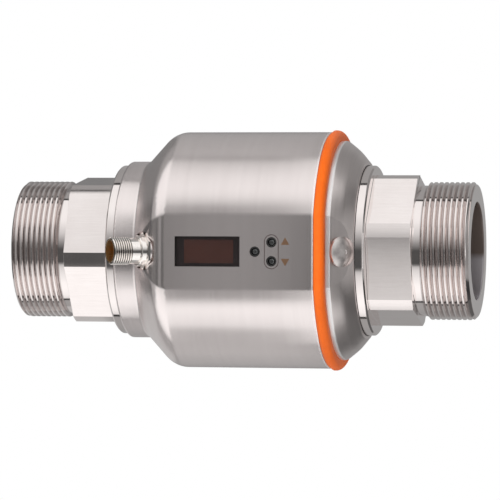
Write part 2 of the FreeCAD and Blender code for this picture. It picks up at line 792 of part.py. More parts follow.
def measuring_tube():
    # Insulating tube that carries the flow, with a ring groove near each end and the electrode holes
    groove_radius = f"({tube_radius} - dims.ring_groove_depth)"
    outer_groove = f"({tube_end} - dims.ring_groove_inset)"
    inner_groove = f"({outer_groove} - dims.ring_groove_width)"
    right = [
        (tube_end, bore_radius),
        (tube_end, tube_radius),
        (outer_groove, tube_radius),
        (outer_groove, groove_radius),
        (inner_groove, groove_radius),
        (inner_groove, tube_radius),
    ]
    left = [(f"-{x}", radius) for x, radius in reversed(right)]
    tube = turned("tube_blank", right + left)
    tools = []
    for side in sides:
        land = f"{tube_radius} - dims.electrode_land_depth"
        land_top = f"{tube_radius} + dims.electrode_seal_thickness"
        land_diameter = "dims.electrode_land_diameter"
        tools.append(electrode_cut("electrode_land", land_diameter, land, land_top, side))
        shank = "dims.electrode_shank_diameter + 2 * dims.slide_gap"
        tools.append(electrode_cut("electrode_hole", f"({shank})", "0", tube_radius, side))
        head = "dims.electrode_head_diameter + 2 * dims.slide_gap"
        head_end = f"{bore_radius} + dims.electrode_head_height"
        tools.append(electrode_cut("electrode_recess", f"({head})", "0", head_end, side))
    piece("measuring_tube", cut("measuring_tube", tube, *tools))
    middle = f"({outer_groove} + {inner_groove}) / 2"
    diameter = f"(2 * {tube_radius} + dims.slide_gap - dims.ring_groove_depth)"
    thickness = "(dims.ring_groove_depth + dims.slide_gap)"
    for name, x in (("inlet_tube_seal", f"-({middle})"), ("outlet_tube_seal", middle)):
        rubber_ring(name, x, diameter, thickness)


def electrode_cut(name, diameter, start, end, side):
    # A round cut along Y between two distances from the axis, to the back or to the front
    low, high = f"{side} * ({start})", f"{side} * ({end})"
    radius = f"{diameter} / 2"
    return turned(name, [("0", low), (radius, low), (radius, high), ("0", high)], axis="V_Axis")


def electrode(name, side):
    # Headed pin, flush with the bore, held by a nut outside the tube
    head_end = f"({bore_radius} + dims.electrode_head_height - dims.seat_gap)"
    profile = [
        ("0", bore_radius),
        ("dims.electrode_head_diameter / 2", bore_radius),
        ("dims.electrode_head_diameter / 2", head_end),
        ("dims.electrode_shank_diameter / 2", head_end),
        ("dims.electrode_shank_diameter / 2", f"{bore_radius} + dims.electrode_length"),
        ("0", f"{bore_radius} + dims.electrode_length"),
    ]
    piece(name, turned(name, [(radius, f"{side} * ({y})") for radius, y in profile], axis="V_Axis"))


def electrode_fixings():
    land = f"({tube_radius} - dims.electrode_land_depth)"
    seal_thickness = "dims.electrode_seal_thickness"
    nut_thickness = "dims.electrode_nut_thickness"
    nut_seat = f"({land} + {seal_thickness})"
    nut_top = f"({nut_seat} + {nut_thickness})"
    hole = "(dims.electrode_shank_diameter + 2 * dims.fit_gap)"
    seals = []
    nuts = []
    for side in sides:

        def washer(sketch):
            circle(sketch, "0", "0", "dims.electrode_seal_diameter")
            circle(sketch, "0", "0", hole)

        def nut(sketch):
            hexagon(sketch, "dims.electrode_nut_across_flats")
            circle(sketch, "0", "0", hole)

        # The sketch plane faces the front, so a piece at the back starts from its outer face
        seal_start = land if side < 0 else f"-{nut_seat}"
        nut_start = nut_seat if side < 0 else f"-{nut_top}"
        seals.append(padded("electrode_seal", "XZ_Plane", seal_start, seal_thickness, washer))
        nuts.append(padded("electrode_nut", "XZ_Plane", nut_start, nut_thickness, nut))
    group("electrode_seals", seals)
    group("electrode_nuts", nuts)


def magnet_side(prefix, side):
    # Pole shoe on the tube, iron core, bobbin and coil between the tube and the yoke
    half_pole = "dims.pole_length / 2"
    pole_inner = f"{tube_radius} + dims.fit_gap"
    shoe = [
        (f"-{half_pole}", pole_inner),
        (half_pole, pole_inner),
        (half_pole, pole_radius),
        (f"-{half_pole}", pole_radius),
    ]
    label = f"{prefix}_pole_shoe"
    shoe = [(x, f"{side} * ({z})") for x, z in shoe]
    piece(label, turned(label, shoe, role="XZ_Plane", angle="dims.pole_angle"))
    core_radius = "dims.core_diameter / 2"
    core_end = f"{pole_radius} + dims.seat_gap"
    head_seat = f"{yoke_radius} + dims.seat_gap"
    head_top = f"{head_seat} + dims.core_head_height"
    upright(
        f"{prefix}_core",
        side,
        [
            ("0", core_end),
            (core_radius, core_end),
            (core_radius, head_seat),
            ("dims.core_head_diameter / 2", head_seat),
            ("dims.core_head_diameter / 2", head_top),
            ("0", head_top),
        ],
    )
    low = f"({pole_radius} + dims.slide_gap)"
    rim = "dims.bobbin_diameter / 2"
    high = f"(sqrt({yoke_inner_radius} ^ 2 - ({rim}) ^ 2) - dims.slide_gap)"
    hole = f"{core_radius} + dims.slide_gap"
    drum = f"{hole} + dims.bobbin_wall"
    upright(
        f"{prefix}_bobbin",
        side,
        [
            (hole, low),
            (rim, low),
            (rim, f"{low} + dims.bobbin_wall"),
            (drum, f"{low} + dims.bobbin_wall"),
            (drum, f"{high} - dims.bobbin_wall"),
            (rim, f"{high} - dims.bobbin_wall"),
            (rim, high),
            (hole, high),
        ],
    )
    winding_low = f"{low} + dims.bobbin_wall + dims.fit_gap"
    winding_high = f"{high} - dims.bobbin_wall - dims.fit_gap"
    winding_inner = f"{drum} + dims.fit_gap"
    winding_outer = f"{rim} - dims.bobbin_wall / 2"
    upright(
        f"{prefix}_coil",
        side,
        [
            (winding_inner, winding_low),
            (winding_outer, winding_low),
            (winding_outer, winding_high),
            (winding_inner, winding_high),
        ],
    )


def upright(label, side, points):
    # A piece turned about the vertical axis, above the pipe or below it
    points = [(radius, f"{side} * ({z})") for radius, z in points]
    piece(label, turned(label, points, role="XZ_Plane", axis="V_Axis"))


def yoke():
    # Iron strap that carries the magnetic flux from one coil round the back to the other
    half = "dims.yoke_length / 2"
    ends = (f"-{half}", half)
    profile = [(end, yoke_inner_radius) for end in ends] + [(end, yoke_radius) for end in reversed(ends)]
    body = turned("yoke", profile, angle="dims.yoke_angle")
    hole = "(dims.core_diameter + 2 * dims.fit_gap)"
    pocketed(body, "XY_Plane", f"4 * {yoke_radius}", lambda sketch: circle(sketch, "0", "0", hole))
    piece("yoke", body)


def board_outline(sketch):
    rectangle(sketch, board_middle, "0", board_length, "dims.board_height")
    for x, z in board_screw_places:
        circle(sketch, x, z, screw_hole)


def carrier():
    # Plastic plate on two legs that straddle the front tie rods; it holds the boards on four posts
    plate = padded("carrier_plate", "XZ_Plane", carrier_back, "dims.carrier_plate", carrier_outline)
    posts = padded("carrier_posts", "XZ_Plane", carrier_front, "dims.carrier_post_height", posts_outline)
    leg_depth = f"{carrier_back} - {rod_offset}"
    leg_length, leg_height = "dims.carrier_leg_length", "dims.carrier_leg_height"
    legs = []
    tools = []
    for up in sides:
        z = f"{up} * {rod_offset}"
        legs.append(box_on("carrier_leg", rod_offset, leg_depth, "0", z, leg_length, leg_height))
        y = f"-{rod_offset}"
        tools.append(rod("carrier_groove", rod_hole, f"2 * {leg_length}", f"-{leg_length}", y, z))
        tools.append(rod("carrier_leg_hole", carrier_screw_hole, carrier_front, "0", y, z, "front"))
    solid = fused("carrier_solid", plate, posts, *legs)
    piece("electronics_carrier", cut("electronics_carrier", solid, *tools))


def carrier_outline(sketch):
    height = f"(2 * {rod_offset} + dims.carrier_leg_height)"
    rectangle(sketch, board_middle, "0", board_length, height)
    for x, z in board_screw_places:
        circle(sketch, x, z, screw_hole)


def posts_outline(sketch):
    for x, z in board_screw_places:
        circle(sketch, x, z, "dims.carrier_post_diameter")
        circle(sketch, x, z, screw_hole)


def carrier_screws():
    # Two screws through the carrier legs into the front tie rods, their heads on the carrier plate
    shank = "dims.carrier_screw_diameter / 2"
    head = "dims.carrier_screw_head_diameter / 2"
    tip = f"-({rod_offset} - dims.rod_diameter / 2)"
    seat = f"-{carrier_front}"
    top = f"-({carrier_front} + dims.carrier_screw_head_height)"
    profile = [("0", tip), (shank, tip), (shank, seat), (head, seat), (head, top), ("0", top)]
    screws = [
        placed(turned("carrier_screw", profile, axis="V_Axis"), z=f"{up} * {rod_offset}") for up in sides
    ]
    group("carrier_screws", screws)


def boards():
    # Main board and display board on spacers, joined by a header and four screws
    for label, back in (("main_board", main_board_back), ("display_board", display_board_back)):
        piece(label, padded(label, "XZ_Plane", back, "dims.board_thickness", board_outline))

    def spacer_rings(x, z):
        def rings(sketch):
            circle(sketch, x, z, "dims.spacer_diameter")
            circle(sketch, x, z, screw_hole)

        return rings

    spacers = [
        padded("board_spacer", "XZ_Plane", main_board_front, "dims.spacer_height", spacer_rings(x, z))
        for x, z in board_screw_places
    ]
    group("board_spacers", spacers)
    header_x = f"{board_right} - dims.board_screw_inset"

    def header(sketch):
        rectangle(sketch, header_x, "0", "dims.header_length", "dims.header_width")

    header_height = "dims.spacer_height"
    piece("board_connector", padded("board_connector", "XZ_Plane", main_board_front, header_height, header))
    chips = [
        box_on("board_chip", main_board_front, "dims.chip_height", x, z, size, size)
        for x, z, size in chip_places
    ]
    group("board_chips", chips)
    shank = "dims.board_screw_diameter / 2"
    head = "dims.board_screw_head_diameter / 2"
    tip = f"-{carrier_back}"
    seat = f"-{display_board_front}"
    top = f"-({display_board_front} + dims.board_screw_head_height)"
    profile = [("0", tip), (shank, tip), (shank, seat), (head, seat), (head, top), ("0", top)]
    screws = [placed(turned("board_screw", profile, axis="V_Axis"), x, "0", z) for x, z in board_screw_places]
    group("board_screws", screws)


def box_on(name, start, thickness, x, z, width, height):
    return padded(name, "XZ_Plane", start, thickness, lambda sketch: rectangle(sketch, x, z, width, height))


def window():
    # Stepped pane set into the panel from behind, its flange on a gasket
    length = "dims.window_length - 2 * dims.slide_gap"
    height = "dims.window_height - 2 * dims.slide_gap"
    flange_length = "dims.window_length + 2 * dims.window_flange"
    flange_height = "dims.window_height + 2 * dims.window_flange"
    middle = "dims.window_offset"
    pane_thickness = f"{flat_distance} - dims.window_recess - {gasket_back}"
    pane = box_on("window_pane", gasket_back, pane_thickness, middle, "0", length, height)
    thickness = "dims.window_flange_thickness"
    flange = box_on("window_rim", window_back, thickness, middle, "0", flange_length, flange_height)
    piece("display_window", fused("display_window", pane, flange))

    def frame(sketch):
        rectangle(sketch, middle, "0", flange_length, flange_height)
        rectangle(sketch, middle, "0", "dims.window_length", "dims.window_height")

    piece("window_gasket", padded("window_gasket", "XZ_Plane", gasket_back, "dims.gasket_thickness", frame))
    depth = f"{window_back} - {display_board_front} - dims.fit_gap"
    piece("display_module", box_on("display_module", display_board_front, depth, middle, "0", length, height))


def buttons():
    # Each key is a pin in a rubber ring, kept in by a flange behind the panel, over a switch
    radius = "dims.button_diameter / 2"
    front = f"-({flat_distance} - dims.button_recess)"
    flange_front = f"-({panel_back} - dims.button_flange_gap)"
    flange_back = f"-{button_flange_back}"
    tip = f"-{button_back}"
    flange_radius = "dims.button_flange_diameter / 2"
    pin = [
        ("0", front),
        (radius, front),
        (radius, flange_front),
        (flange_radius, flange_front),
        (flange_radius, flange_back),
        (radius, flange_back),
        (radius, tip),
        ("0", tip),
    ]
    rings = []
    switches = []
    ring_front = f"-({flat_distance} - dims.button_ring_recess)"
    ring_back = f"-{panel_back}"
    ring_inner = f"{radius} + dims.fit_gap"
    ring_outer = "dims.button_ring_diameter / 2"
    ring = [
        (ring_inner, ring_front),
        (ring_outer, ring_front),
        (ring_outer, ring_back),
        (ring_inner, ring_back),
    ]
    for label, (x, z) in button_places.items():
        piece(label, placed(turned(label, pin, axis="V_Axis"), x, "0", z))
        rings.append(placed(turned("button_ring", ring, axis="V_Axis"), x, "0", z))
        size = "dims.switch_size"
        base = box_on("switch_base", display_board_front, "dims.switch_height", x, z, size, size)
        plunger_start = f"-({display_board_front} + dims.switch_height)"
        diameter = "dims.switch_plunger_diameter"
        plunger = rod("switch_plunger", diameter, "dims.switch_plunger_height", x, plunger_start, z, "front")
        switches.append(fused("button_switch", base, plunger))
    group("button_seals", rings)
    group("button_switches", switches)


def connector():
    # M12 plug connector: shell with hexagon, contact insert, pins, seal and flat lead
    hex_top = "dims.connector_hex_height"
    collar_top = f"({hex_top} + dims.connector_collar_length)"
    neck_end = f"({collar_top} + dims.connector_neck_length)"
    tip = f"({neck_end} + dims.connector_thread_length)"
    socket_floor = f"({tip} - dims.connector_socket_depth)"
    thread_radius = "dims.connector_thread_diameter / 2"
    neck = "dims.connector_neck_diameter / 2"
    collar_radius = "dims.connector_collar_diameter / 2"
    collar_chamfer = "dims.connector_collar_chamfer"
    socket = "dims.connector_socket_diameter / 2"
    core = "dims.connector_core_diameter / 2"
    shank = "dims.connector_shank_diameter / 2"
    collar_floor = f"({socket_floor} - dims.insert_collar)"
    shank_end = "-dims.connector_shank_length"
    seal_radius = "dims.connector_seal_diameter / 2"
    corner = "dims.connector_hex_across_flats / sqrt(3)"
    chamfer = "dims.connector_hex_chamfer"
    profile = [
        (shank_end, core),
        (shank_end, shank),
        ("dims.connector_seal_depth", shank),
        ("dims.connector_seal_depth", seal_radius),
        ("0", seal_radius),
        ("0", corner),
        (f"{hex_top} - {chamfer}", corner),
        (hex_top, f"{corner} - 2 * {chamfer}"),
        (hex_top, collar_radius),
        (f"{collar_top} - {collar_chamfer}", collar_radius),
        (collar_top, f"{collar_radius} - {collar_chamfer}"),
        (collar_top, neck),
        (neck_end, neck),
        (neck_end, thread_radius),
        (f"{tip} - dims.connector_thread_chamfer", thread_radius),
        (tip, f"{thread_radius} - dims.connector_thread_chamfer"),
        (tip, socket),
        (collar_floor, socket),
        (collar_floor, core),
    ]
    shell = turned("connector_turning", profile)

    def hexagon_outside(sketch):
        hexagon(sketch, "dims.connector_hex_across_flats", 90)
        circle(sketch, "0", "0", "dims.connector_hex_across_flats * 2")

    pocketed(shell, "YZ_Plane", hex_top, hexagon_outside, hex_top, both_ways=False)
    piece("connector_shell", on_shoulder(shell))
    collar = f"{socket} - dims.fit_gap"
    stem = f"{core} - dims.fit_gap"
    tail = f"({shank_end} - dims.insert_tail)"
    collar_back = f"{collar_floor} + dims.seat_gap"
    insert = turned(
        "insert_blank",
        [
            (tail, "0"),
            (tail, stem),
            (collar_back, stem),
            (collar_back, collar),
            (socket_floor, collar),
            (socket_floor, "0"),
        ],
    )
    pin_start = f"({tail} - dims.pin_tail)"
    pin_end = f"({socket_floor} + dims.pin_length)"

    def pin_holes(sketch):
        for y, z in pin_places:
            circle(sketch, y, z, "(dims.pin_diameter + 2 * dims.fit_gap)")

    pocketed(insert, "YZ_Plane", f"{socket_floor} - {tail}", pin_holes, socket_floor, both_ways=False)
    piece("connector_insert", on_shoulder(insert))

    def pin_section(y, z):
        return lambda sketch: circle(sketch, y, z, "dims.pin_diameter")

    length = f"{pin_end} - {pin_start}"
    pins = [
        on_shoulder(padded("connector_pin", "YZ_Plane", pin_start, length, pin_section(y, z)))
        for y, z in pin_places
    ]
    group("connector_pins", pins)
    ring_inner = f"{shank} + dims.fit_gap"
    ring_outer = f"{seal_radius} - dims.fit_gap"
    ring_top = "dims.connector_seal_depth - dims.seat_gap"
    seal = turned(
        "connector_seal",
        [("0", ring_inner), (ring_top, ring_inner), (ring_top, ring_outer), ("0", ring_outer)],
    )
    piece("connector_seal", on_shoulder(seal))
    # The lead lies on the back of the main board and ends just behind the pins
    lead_reach = f"({pin_depth} + 2 * dims.pin_diameter)"
    lead_left = f"({connector_x} + {lead_reach} * cos(dims.connector_tilt))"
    lead_right = f"({board_left} + dims.lead_overlap)"
    lead_start = f"{main_board_back} - dims.lead_thickness"
    lead_middle = f"({lead_left} + {lead_right}) / 2"
    lead_length = f"{lead_right} - {lead_left}"
    thickness = "dims.lead_thickness"
    lead = box_on("connector_lead", lead_start, thickness, lead_middle, "0", lead_length, "dims.lead_width")
    piece("connector_lead", lead)


pipe_adapter("inlet_adapter", -1, "dims.inlet_clocking")
pipe_adapter("outlet_adapter", 1, "dims.outlet_clocking")
flange_seal("inlet_flange_seal", -1)
flange_seal("outlet_flange_seal", 1)
clamp_ring("inlet_clamp_ring", f"-{clamp_face}", clamp_radius)
clamp_ring("outlet_clamp_ring", f"{clamp_face} - dims.clamp_thickness", cover_clamp_radius)
tie_rods()
housing()
cover_seal()
end_cover()
cover_plug()
measuring_tube()
electrode("front_electrode", -1)
electrode("rear_electrode", 1)
electrode_fixings()
magnet_side("upper", 1)
magnet_side("lower", -1)
yoke()
carrier()
carrier_screws()
boards()
window()
buttons()
connector()

doc.recompute()
for thing in doc.Objects:
    if "Invalid" in thing.State or "Error" in thing.State:
        raise RuntimeError(f"{thing.Label} failed: {thing.State}")
for thing in pieces:
    if thing.Shape.isNull() or not thing.Shape.isValid():
        raise RuntimeError(f"{thing.Label} has no valid shape")

os.makedirs("parts", exist_ok=True)
for thing in pieces:
    thing.Shape.exportStep(f"parts/{thing.Label}.step")
    print(f"{thing.Label}: {len(thing.Shape.Solids)} solid, {thing.Shape.Volume:.0f} cubic mm")
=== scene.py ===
import bpy
import math
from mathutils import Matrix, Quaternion, Vector


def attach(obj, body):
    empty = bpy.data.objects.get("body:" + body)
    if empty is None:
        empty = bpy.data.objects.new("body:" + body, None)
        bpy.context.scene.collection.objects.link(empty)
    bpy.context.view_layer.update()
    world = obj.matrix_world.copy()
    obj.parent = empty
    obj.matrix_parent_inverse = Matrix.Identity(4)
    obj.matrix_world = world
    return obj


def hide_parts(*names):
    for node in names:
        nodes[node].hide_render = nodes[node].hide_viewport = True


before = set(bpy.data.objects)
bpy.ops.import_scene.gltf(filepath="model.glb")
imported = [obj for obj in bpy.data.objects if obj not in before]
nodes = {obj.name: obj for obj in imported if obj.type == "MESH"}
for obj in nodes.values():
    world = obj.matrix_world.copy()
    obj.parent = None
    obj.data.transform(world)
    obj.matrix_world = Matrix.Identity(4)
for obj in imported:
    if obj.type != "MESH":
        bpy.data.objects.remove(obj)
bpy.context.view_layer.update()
mm = 0.001
touching = 0.002 * mm  # points nearer than this become one
flatAngle = 0.2  # faces that lean less than this become one, in degrees
print("flow meter frame loaded:", len(nodes), "nodes")


# Small helpers for working as by hand

def clearSelection():
    if bpy.context.object and bpy.context.object.mode != "OBJECT":
        bpy.ops.object.mode_set(mode="OBJECT")
    bpy.ops.object.select_all(action="DESELECT")


def pick(obj):
    clearSelection()
    obj.select_set(True)
    bpy.context.view_layer.objects.active = obj


def startEdit(obj, everything=True):
    pick(obj)
    bpy.ops.object.mode_set(mode="EDIT")
    bpy.ops.mesh.select_mode(type="VERT")
    bpy.ops.mesh.select_all(action="SELECT" if everything else "DESELECT")


def endEdit():
    bpy.ops.object.mode_set(mode="OBJECT")


def selectVerts(obj, test):
    # leaves edit mode for a moment, so that the choice is made by place
    startEdit(obj, everything=False)
    endEdit()
    for vert in obj.data.vertices:
        vert.select = test(vert.co)
    bpy.ops.object.mode_set(mode="EDIT")


def applyModifier(obj, kind, **settings):
    pick(obj)
    modifier = obj.modifiers.new(kind.lower(), kind)
    for key, value in settings.items():
        setattr(modifier, key, value)
    bpy.ops.object.modifier_apply(modifier=modifier.name)


def settle(obj, place=(0, 0, 0), turn=(0, 0, 0)):
    # the place goes into the mesh and the object stays at the origin
    pick(obj)
    obj.location = place
    obj.rotation_euler = [math.radians(angle) for angle in turn]
    bpy.ops.object.transform_apply(location=True, rotation=True, scale=True)


def smooth(obj, angle):
    pick(obj)
    bpy.ops.object.shade_smooth_by_angle(angle=math.radians(angle))
    applyModifier(obj, "WEIGHTED_NORMAL", keep_sharp=True)


def mergedCopy(name, node):
    # a CAD node's mesh is loose triangles: this copy is merged, and its flat faces become whole
    obj = bpy.data.objects.new(name, nodes[node].data.copy())
    bpy.context.scene.collection.objects.link(obj)
    obj.data.materials.clear()
    pick(obj)
    bpy.ops.mesh.customdata_custom_splitnormals_clear()
    startEdit(obj)
    bpy.ops.mesh.remove_doubles(threshold=touching)
    bpy.ops.mesh.dissolve_limited(angle_limit=math.radians(flatAngle))
    endEdit()
    return obj


def vertexLine(name, points):
    # one vertex, extruded from point to point
    clearSelection()
    bpy.ops.mesh.primitive_plane_add(size=mm, location=(0, 0, 0))
    obj = bpy.context.object
    obj.name = name
    startEdit(obj)
    bpy.ops.mesh.merge(type="CENTER")
    bpy.ops.transform.translate(value=points[0])
    for before, after in zip(points, points[1:]):
        step = [b - a for a, b in zip(before, after)]
        bpy.ops.mesh.extrude_vertices_move(TRANSFORM_OT_translate={"value": step})
    endEdit()
    return obj


def turnedPiece(name, outline, steps):
    # outline: places along X and radii, in millimetres, spun about X
    obj = vertexLine(name, [(x * mm, 0, radius * mm) for x, radius in outline])
    startEdit(obj)
    bpy.ops.mesh.spin(steps=steps, angle=math.tau, center=(0, 0, 0), axis=(1, 0, 0))
    bpy.ops.mesh.select_all(action="SELECT")
    bpy.ops.mesh.remove_doubles(threshold=touching / 4)
    bpy.ops.mesh.normals_make_consistent(inside=False)
    endEdit()
    return obj


def arc(centre, radius, start, end, count):
    # points on a round edge, for an outline
    turns = [math.radians(start + (end - start) * i / count) for i in range(count + 1)]
    return [(centre[0] + radius * math.cos(t), centre[1] + radius * math.sin(t)) for t in turns]


def joinPieces(name, pieces):
    clearSelection()
    for obj in pieces:
        obj.select_set(True)
    bpy.context.view_layer.objects.active = pieces[0]
    bpy.ops.object.join()
    pieces[0].name = name
    return pieces[0]


def fit(obj, finish, slotName, body, *replaced):
    obj.data.materials.clear()
    obj.data.materials.append(finish)
    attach(obj, body)
    if replaced:
        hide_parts(*replaced)


# Shader sums are written as Python sums on Wires

class Wire:
    def __init__(self, finish, socket):
        self.finish = finish
        self.socket = socket

    def sum(self, operation, first, second):
        return self.finish.node("ShaderNodeMath", {"operation": operation}, {0: first, 1: second})

    def __add__(self, other):
        return self.sum("ADD", self, other)

    def __radd__(self, other):
        return self.sum("ADD", other, self)

    def __sub__(self, other):
        return self.sum("SUBTRACT", self, other)

    def __rsub__(self, other):
        return self.sum("SUBTRACT", other, self)

    def __mul__(self, other):
        return self.sum("MULTIPLY", self, other)

    def __rmul__(self, other):
        return self.sum("MULTIPLY", other, self)

    def __gt__(self, other):
        return self.sum("GREATER_THAN", self, other)

    def __lt__(self, other):
        return self.sum("LESS_THAN", self, other)

    def __abs__(self):
        return self.finish.node("ShaderNodeMath", {"operation": "ABSOLUTE"}, {0: self})

    def within(self, low, high):
        return (self > low) * (self < high)


class Finish:
    def __init__(self, name, **fixed):
        self.material = bpy.data.materials.new(name)
        self.material.use_nodes = True
        self.tree = self.material.node_tree
        self.shader = self.tree.nodes["Principled BSDF"]
        self.set(**fixed)

    def node(self, kind, settings=None, sockets=None, output=0):
        made = self.tree.nodes.new(kind)
        for key, value in (settings or {}).items():
            if key == "stops":
                self.fillRamp(made.color_ramp, value)
            else:
                setattr(made, key, value)
        for key, value in (sockets or {}).items():
            self.feed(made.inputs[key], value)
        return Wire(self, made.outputs[output])

    def fillRamp(self, ramp, stops):
        # every ramp here is a row of greys
        while len(ramp.elements) < len(stops):
            ramp.elements.new(1)
        for element, (place, grey) in zip(ramp.elements, stops):
            element.position = place
            element.color = (grey, grey, grey, 1)

    def feed(self, socket, value):
        if isinstance(value, Wire):
            self.tree.links.new(value.socket, socket)
        else:
            socket.default_value = value

    def set(self, **sockets):
        for key, value in sockets.items():
            self.feed(self.shader.inputs[key.replace("_", " ")], value)
        return self.material

    def surface(self, shader):
        # for the studio: another shader takes the place of the plain one
        self.feed(self.tree.nodes["Material Output"].inputs["Surface"], shader)
        return self.material

    def place(self):
        return self.node("ShaderNodeTexCoord", output="Object")

    def axes(self, place=None):
        split = self.node("ShaderNodeSeparateXYZ", sockets={0: place or self.place()})
        return [Wire(self, socket) for socket in split.socket.node.outputs]

    def noise(self, scale, detail=3, stretch=(1, 1, 1), vector=None, roughness=0.55):
        spread = self.node("ShaderNodeMapping", sockets={"Vector": vector or self.place(), "Scale": stretch})
        sockets = {"Vector": spread, "Scale": scale, "Detail": detail, "Roughness": roughness}
        return self.node("ShaderNodeTexNoise", sockets=sockets)

    def span(self, value, low, high, fromLow=0.0, fromHigh=1.0):
        sockets = {"Value": value, "From Min": fromLow, "From Max": fromHigh, "To Min": low, "To Max": high}
        return self.node("ShaderNodeMapRange", sockets=sockets)

    def blend(self, factor, first, second):
        tones = [(*tone, 1) if isinstance(tone, tuple) else tone for tone in (first, second)]
        return self.node("ShaderNodeMix", {"data_type": "RGBA"}, {0: factor, 6: tones[0], 7: tones[1]}, 2)

    def bump(self, height, strength, distance):
        sockets = {"Height": height, "Strength": strength, "Distance": distance}
        return self.node("ShaderNodeBump", sockets=sockets)


# Finishes

noiseSpan = (0.3, 0.7)  # nearly all of a noise lies between these
toneSpan = (0.35, 0.65)  # narrower, for stronger tones

brushLook = {"lines": (2600, 4, (1, 0.012, 0.012)), "bands": (420, 3, (1, 0.02, 0.02)), "cloud": (55, 4),
             "tone": (0.35, 0.4, 0.25), "roughParts": (0.6, 0.4), "bump": 0.1, "depth": 0.02, "lipHighlightDull": 0.28}
satinLook = {"light": (0.90, 0.83, 0.815), "dark": (0.84, 0.77, 0.755), "rough": (0.20, 0.26),
             "lip": (36.1, 36.8), "lipHighlightTone": (0.87, 0.80, 0.785)}
coverLook = {"light": (0.86, 0.79, 0.77), "dark": (0.78, 0.715, 0.695), "rough": (0.28, 0.34),
             "lip": (41.3, 43.4), "lipHighlightTone": (0.735, 0.73, 0.725)}


def brushedSteel(name, look):
    # brushed round the pipe: the lines are short along X and long across it, and the lip is a pale, less
    # metallic band, a painted highlight
    finish = Finish(name, Metallic=1.0)
    x = finish.axes()[0]
    onLipHighlight = x.within(*(place * mm for place in look["lip"]))
    lines, bands, cloud = [finish.noise(*brushLook[layer]) for layer in ("lines", "bands", "cloud")]
    ofLines, ofBands, ofCloud = brushLook["tone"]
    tone = lines * ofLines + bands * ofBands + cloud * ofCloud
    colour = finish.blend(finish.span(tone, 0, 1, *noiseSpan), look["dark"], look["light"])
    # painted highlight: the lip band gets its own tone and less metal, so that it shows as a light line
    colour = finish.blend(onLipHighlight, colour, look["lipHighlightTone"])
    grain = lines * brushLook["roughParts"][0] + cloud * brushLook["roughParts"][1]
    rough = finish.span(grain, *look["rough"], *noiseSpan)
    return finish.set(Base_Color=colour, Roughness=rough, Metallic=1 - onLipHighlight * brushLook["lipHighlightDull"],
                      Normal=finish.bump(lines, brushLook["bump"], brushLook["depth"] * mm))


turnedLook = {"light": (0.90, 0.84, 0.82), "dark": (0.85, 0.785, 0.765), "rough": (0.05, 0.08),
              "rings": 2200, "cloud": 90, "mix": 0.5, "bump": 0.02, "depth": 0.01,
              "milled": 1500, "milledStretch": (0.05, 1, 1), "milledRough": 0.06,
              "hex": (56.6, 75.3), "hexRadius": 29.5,
              "thread": (78.7, 99.6), "root": 28.4, "crest": 29.4, "rootShadeTone": (0.67, 0.615, 0.60),
              "bore": 21.3, "boreReflectionTop": (0.15, 0.115, 0.10), "boreReflectionFoot": (0.46, 0.43, 0.45),
              "boreReflectionEdge": (-4, -1), "boreDull": 0.6, "boreRough": 0.25}


def turnedSteel(look):
    # rings round the pipe from the lathe, a milled grain on the hexagon, painted shade in the thread roots, a
    # dull bore
    finish = Finish("turnedSteel", Metallic=1.0)
    x, y, z = finish.axes()
    radius = finish.node("ShaderNodeMath", {"operation": "SQRT"}, {0: y * y + z * z})
    away = abs(x)
    lathe = finish.node("ShaderNodeCombineXYZ", sockets={0: x, 1: radius})
    rings = finish.noise(look["rings"], vector=lathe)
    milled = finish.noise(look["milled"], stretch=look["milledStretch"])
    cloud = finish.noise(look["cloud"], 4)
    onHex = away.within(*(place * mm for place in look["hex"])) * (radius > look["hexRadius"] * mm)
    grain = rings + onHex * (milled - rings)
    rough = finish.span(rings, *look["rough"], *noiseSpan) + onHex * look["milledRough"]
    tone = finish.span(grain * look["mix"] + cloud * (1 - look["mix"]), 0, 1, *toneSpan)
    colour = finish.blend(tone, look["dark"], look["light"])
    inBore = radius < look["bore"] * mm
    onThread = away.within(*(place * mm for place in look["thread"])) * (1 - inBore)
    # painted shade: the thread roots are coloured darker, as if in shadow
    rootShade = finish.span(radius, 1, 0, look["root"] * mm, look["crest"] * mm) * onThread
    colour = finish.blend(rootShade, colour, look["rootShadeTone"])
    # painted reflection: the bore is coloured dark brown at the top and pale lilac-grey below, standing in
    # for what it reflects
    edge = finish.span(z, 0, 1, *(place * mm for place in look["boreReflectionEdge"]))
    boreReflection = finish.blend(edge, look["boreReflectionFoot"], look["boreReflectionTop"])
    return finish.set(Base_Color=finish.blend(inBore, colour, boreReflection),
                      Metallic=1 - inBore * look["boreDull"], Roughness=rough + inBore * look["boreRough"],
                      Normal=finish.bump(grain, look["bump"], look["depth"] * mm))


connectorLook = {"seat": (-37.399, -42.401, 0), "turn": 215, "smooth": 35}
nickelLook = {"light": (0.93, 0.89, 0.85), "dark": (0.88, 0.83, 0.79), "rough": (0.09, 0.13), "grain": 1500,
              "threadFrom": 7.6, "root": (5.4, 5.62), "rootShadeTone": (0.10, 0.08, 0.065),
              "bore": 4.9, "boreTone": (0.80, 0.62, 0.38), "boreRough": 0.25}


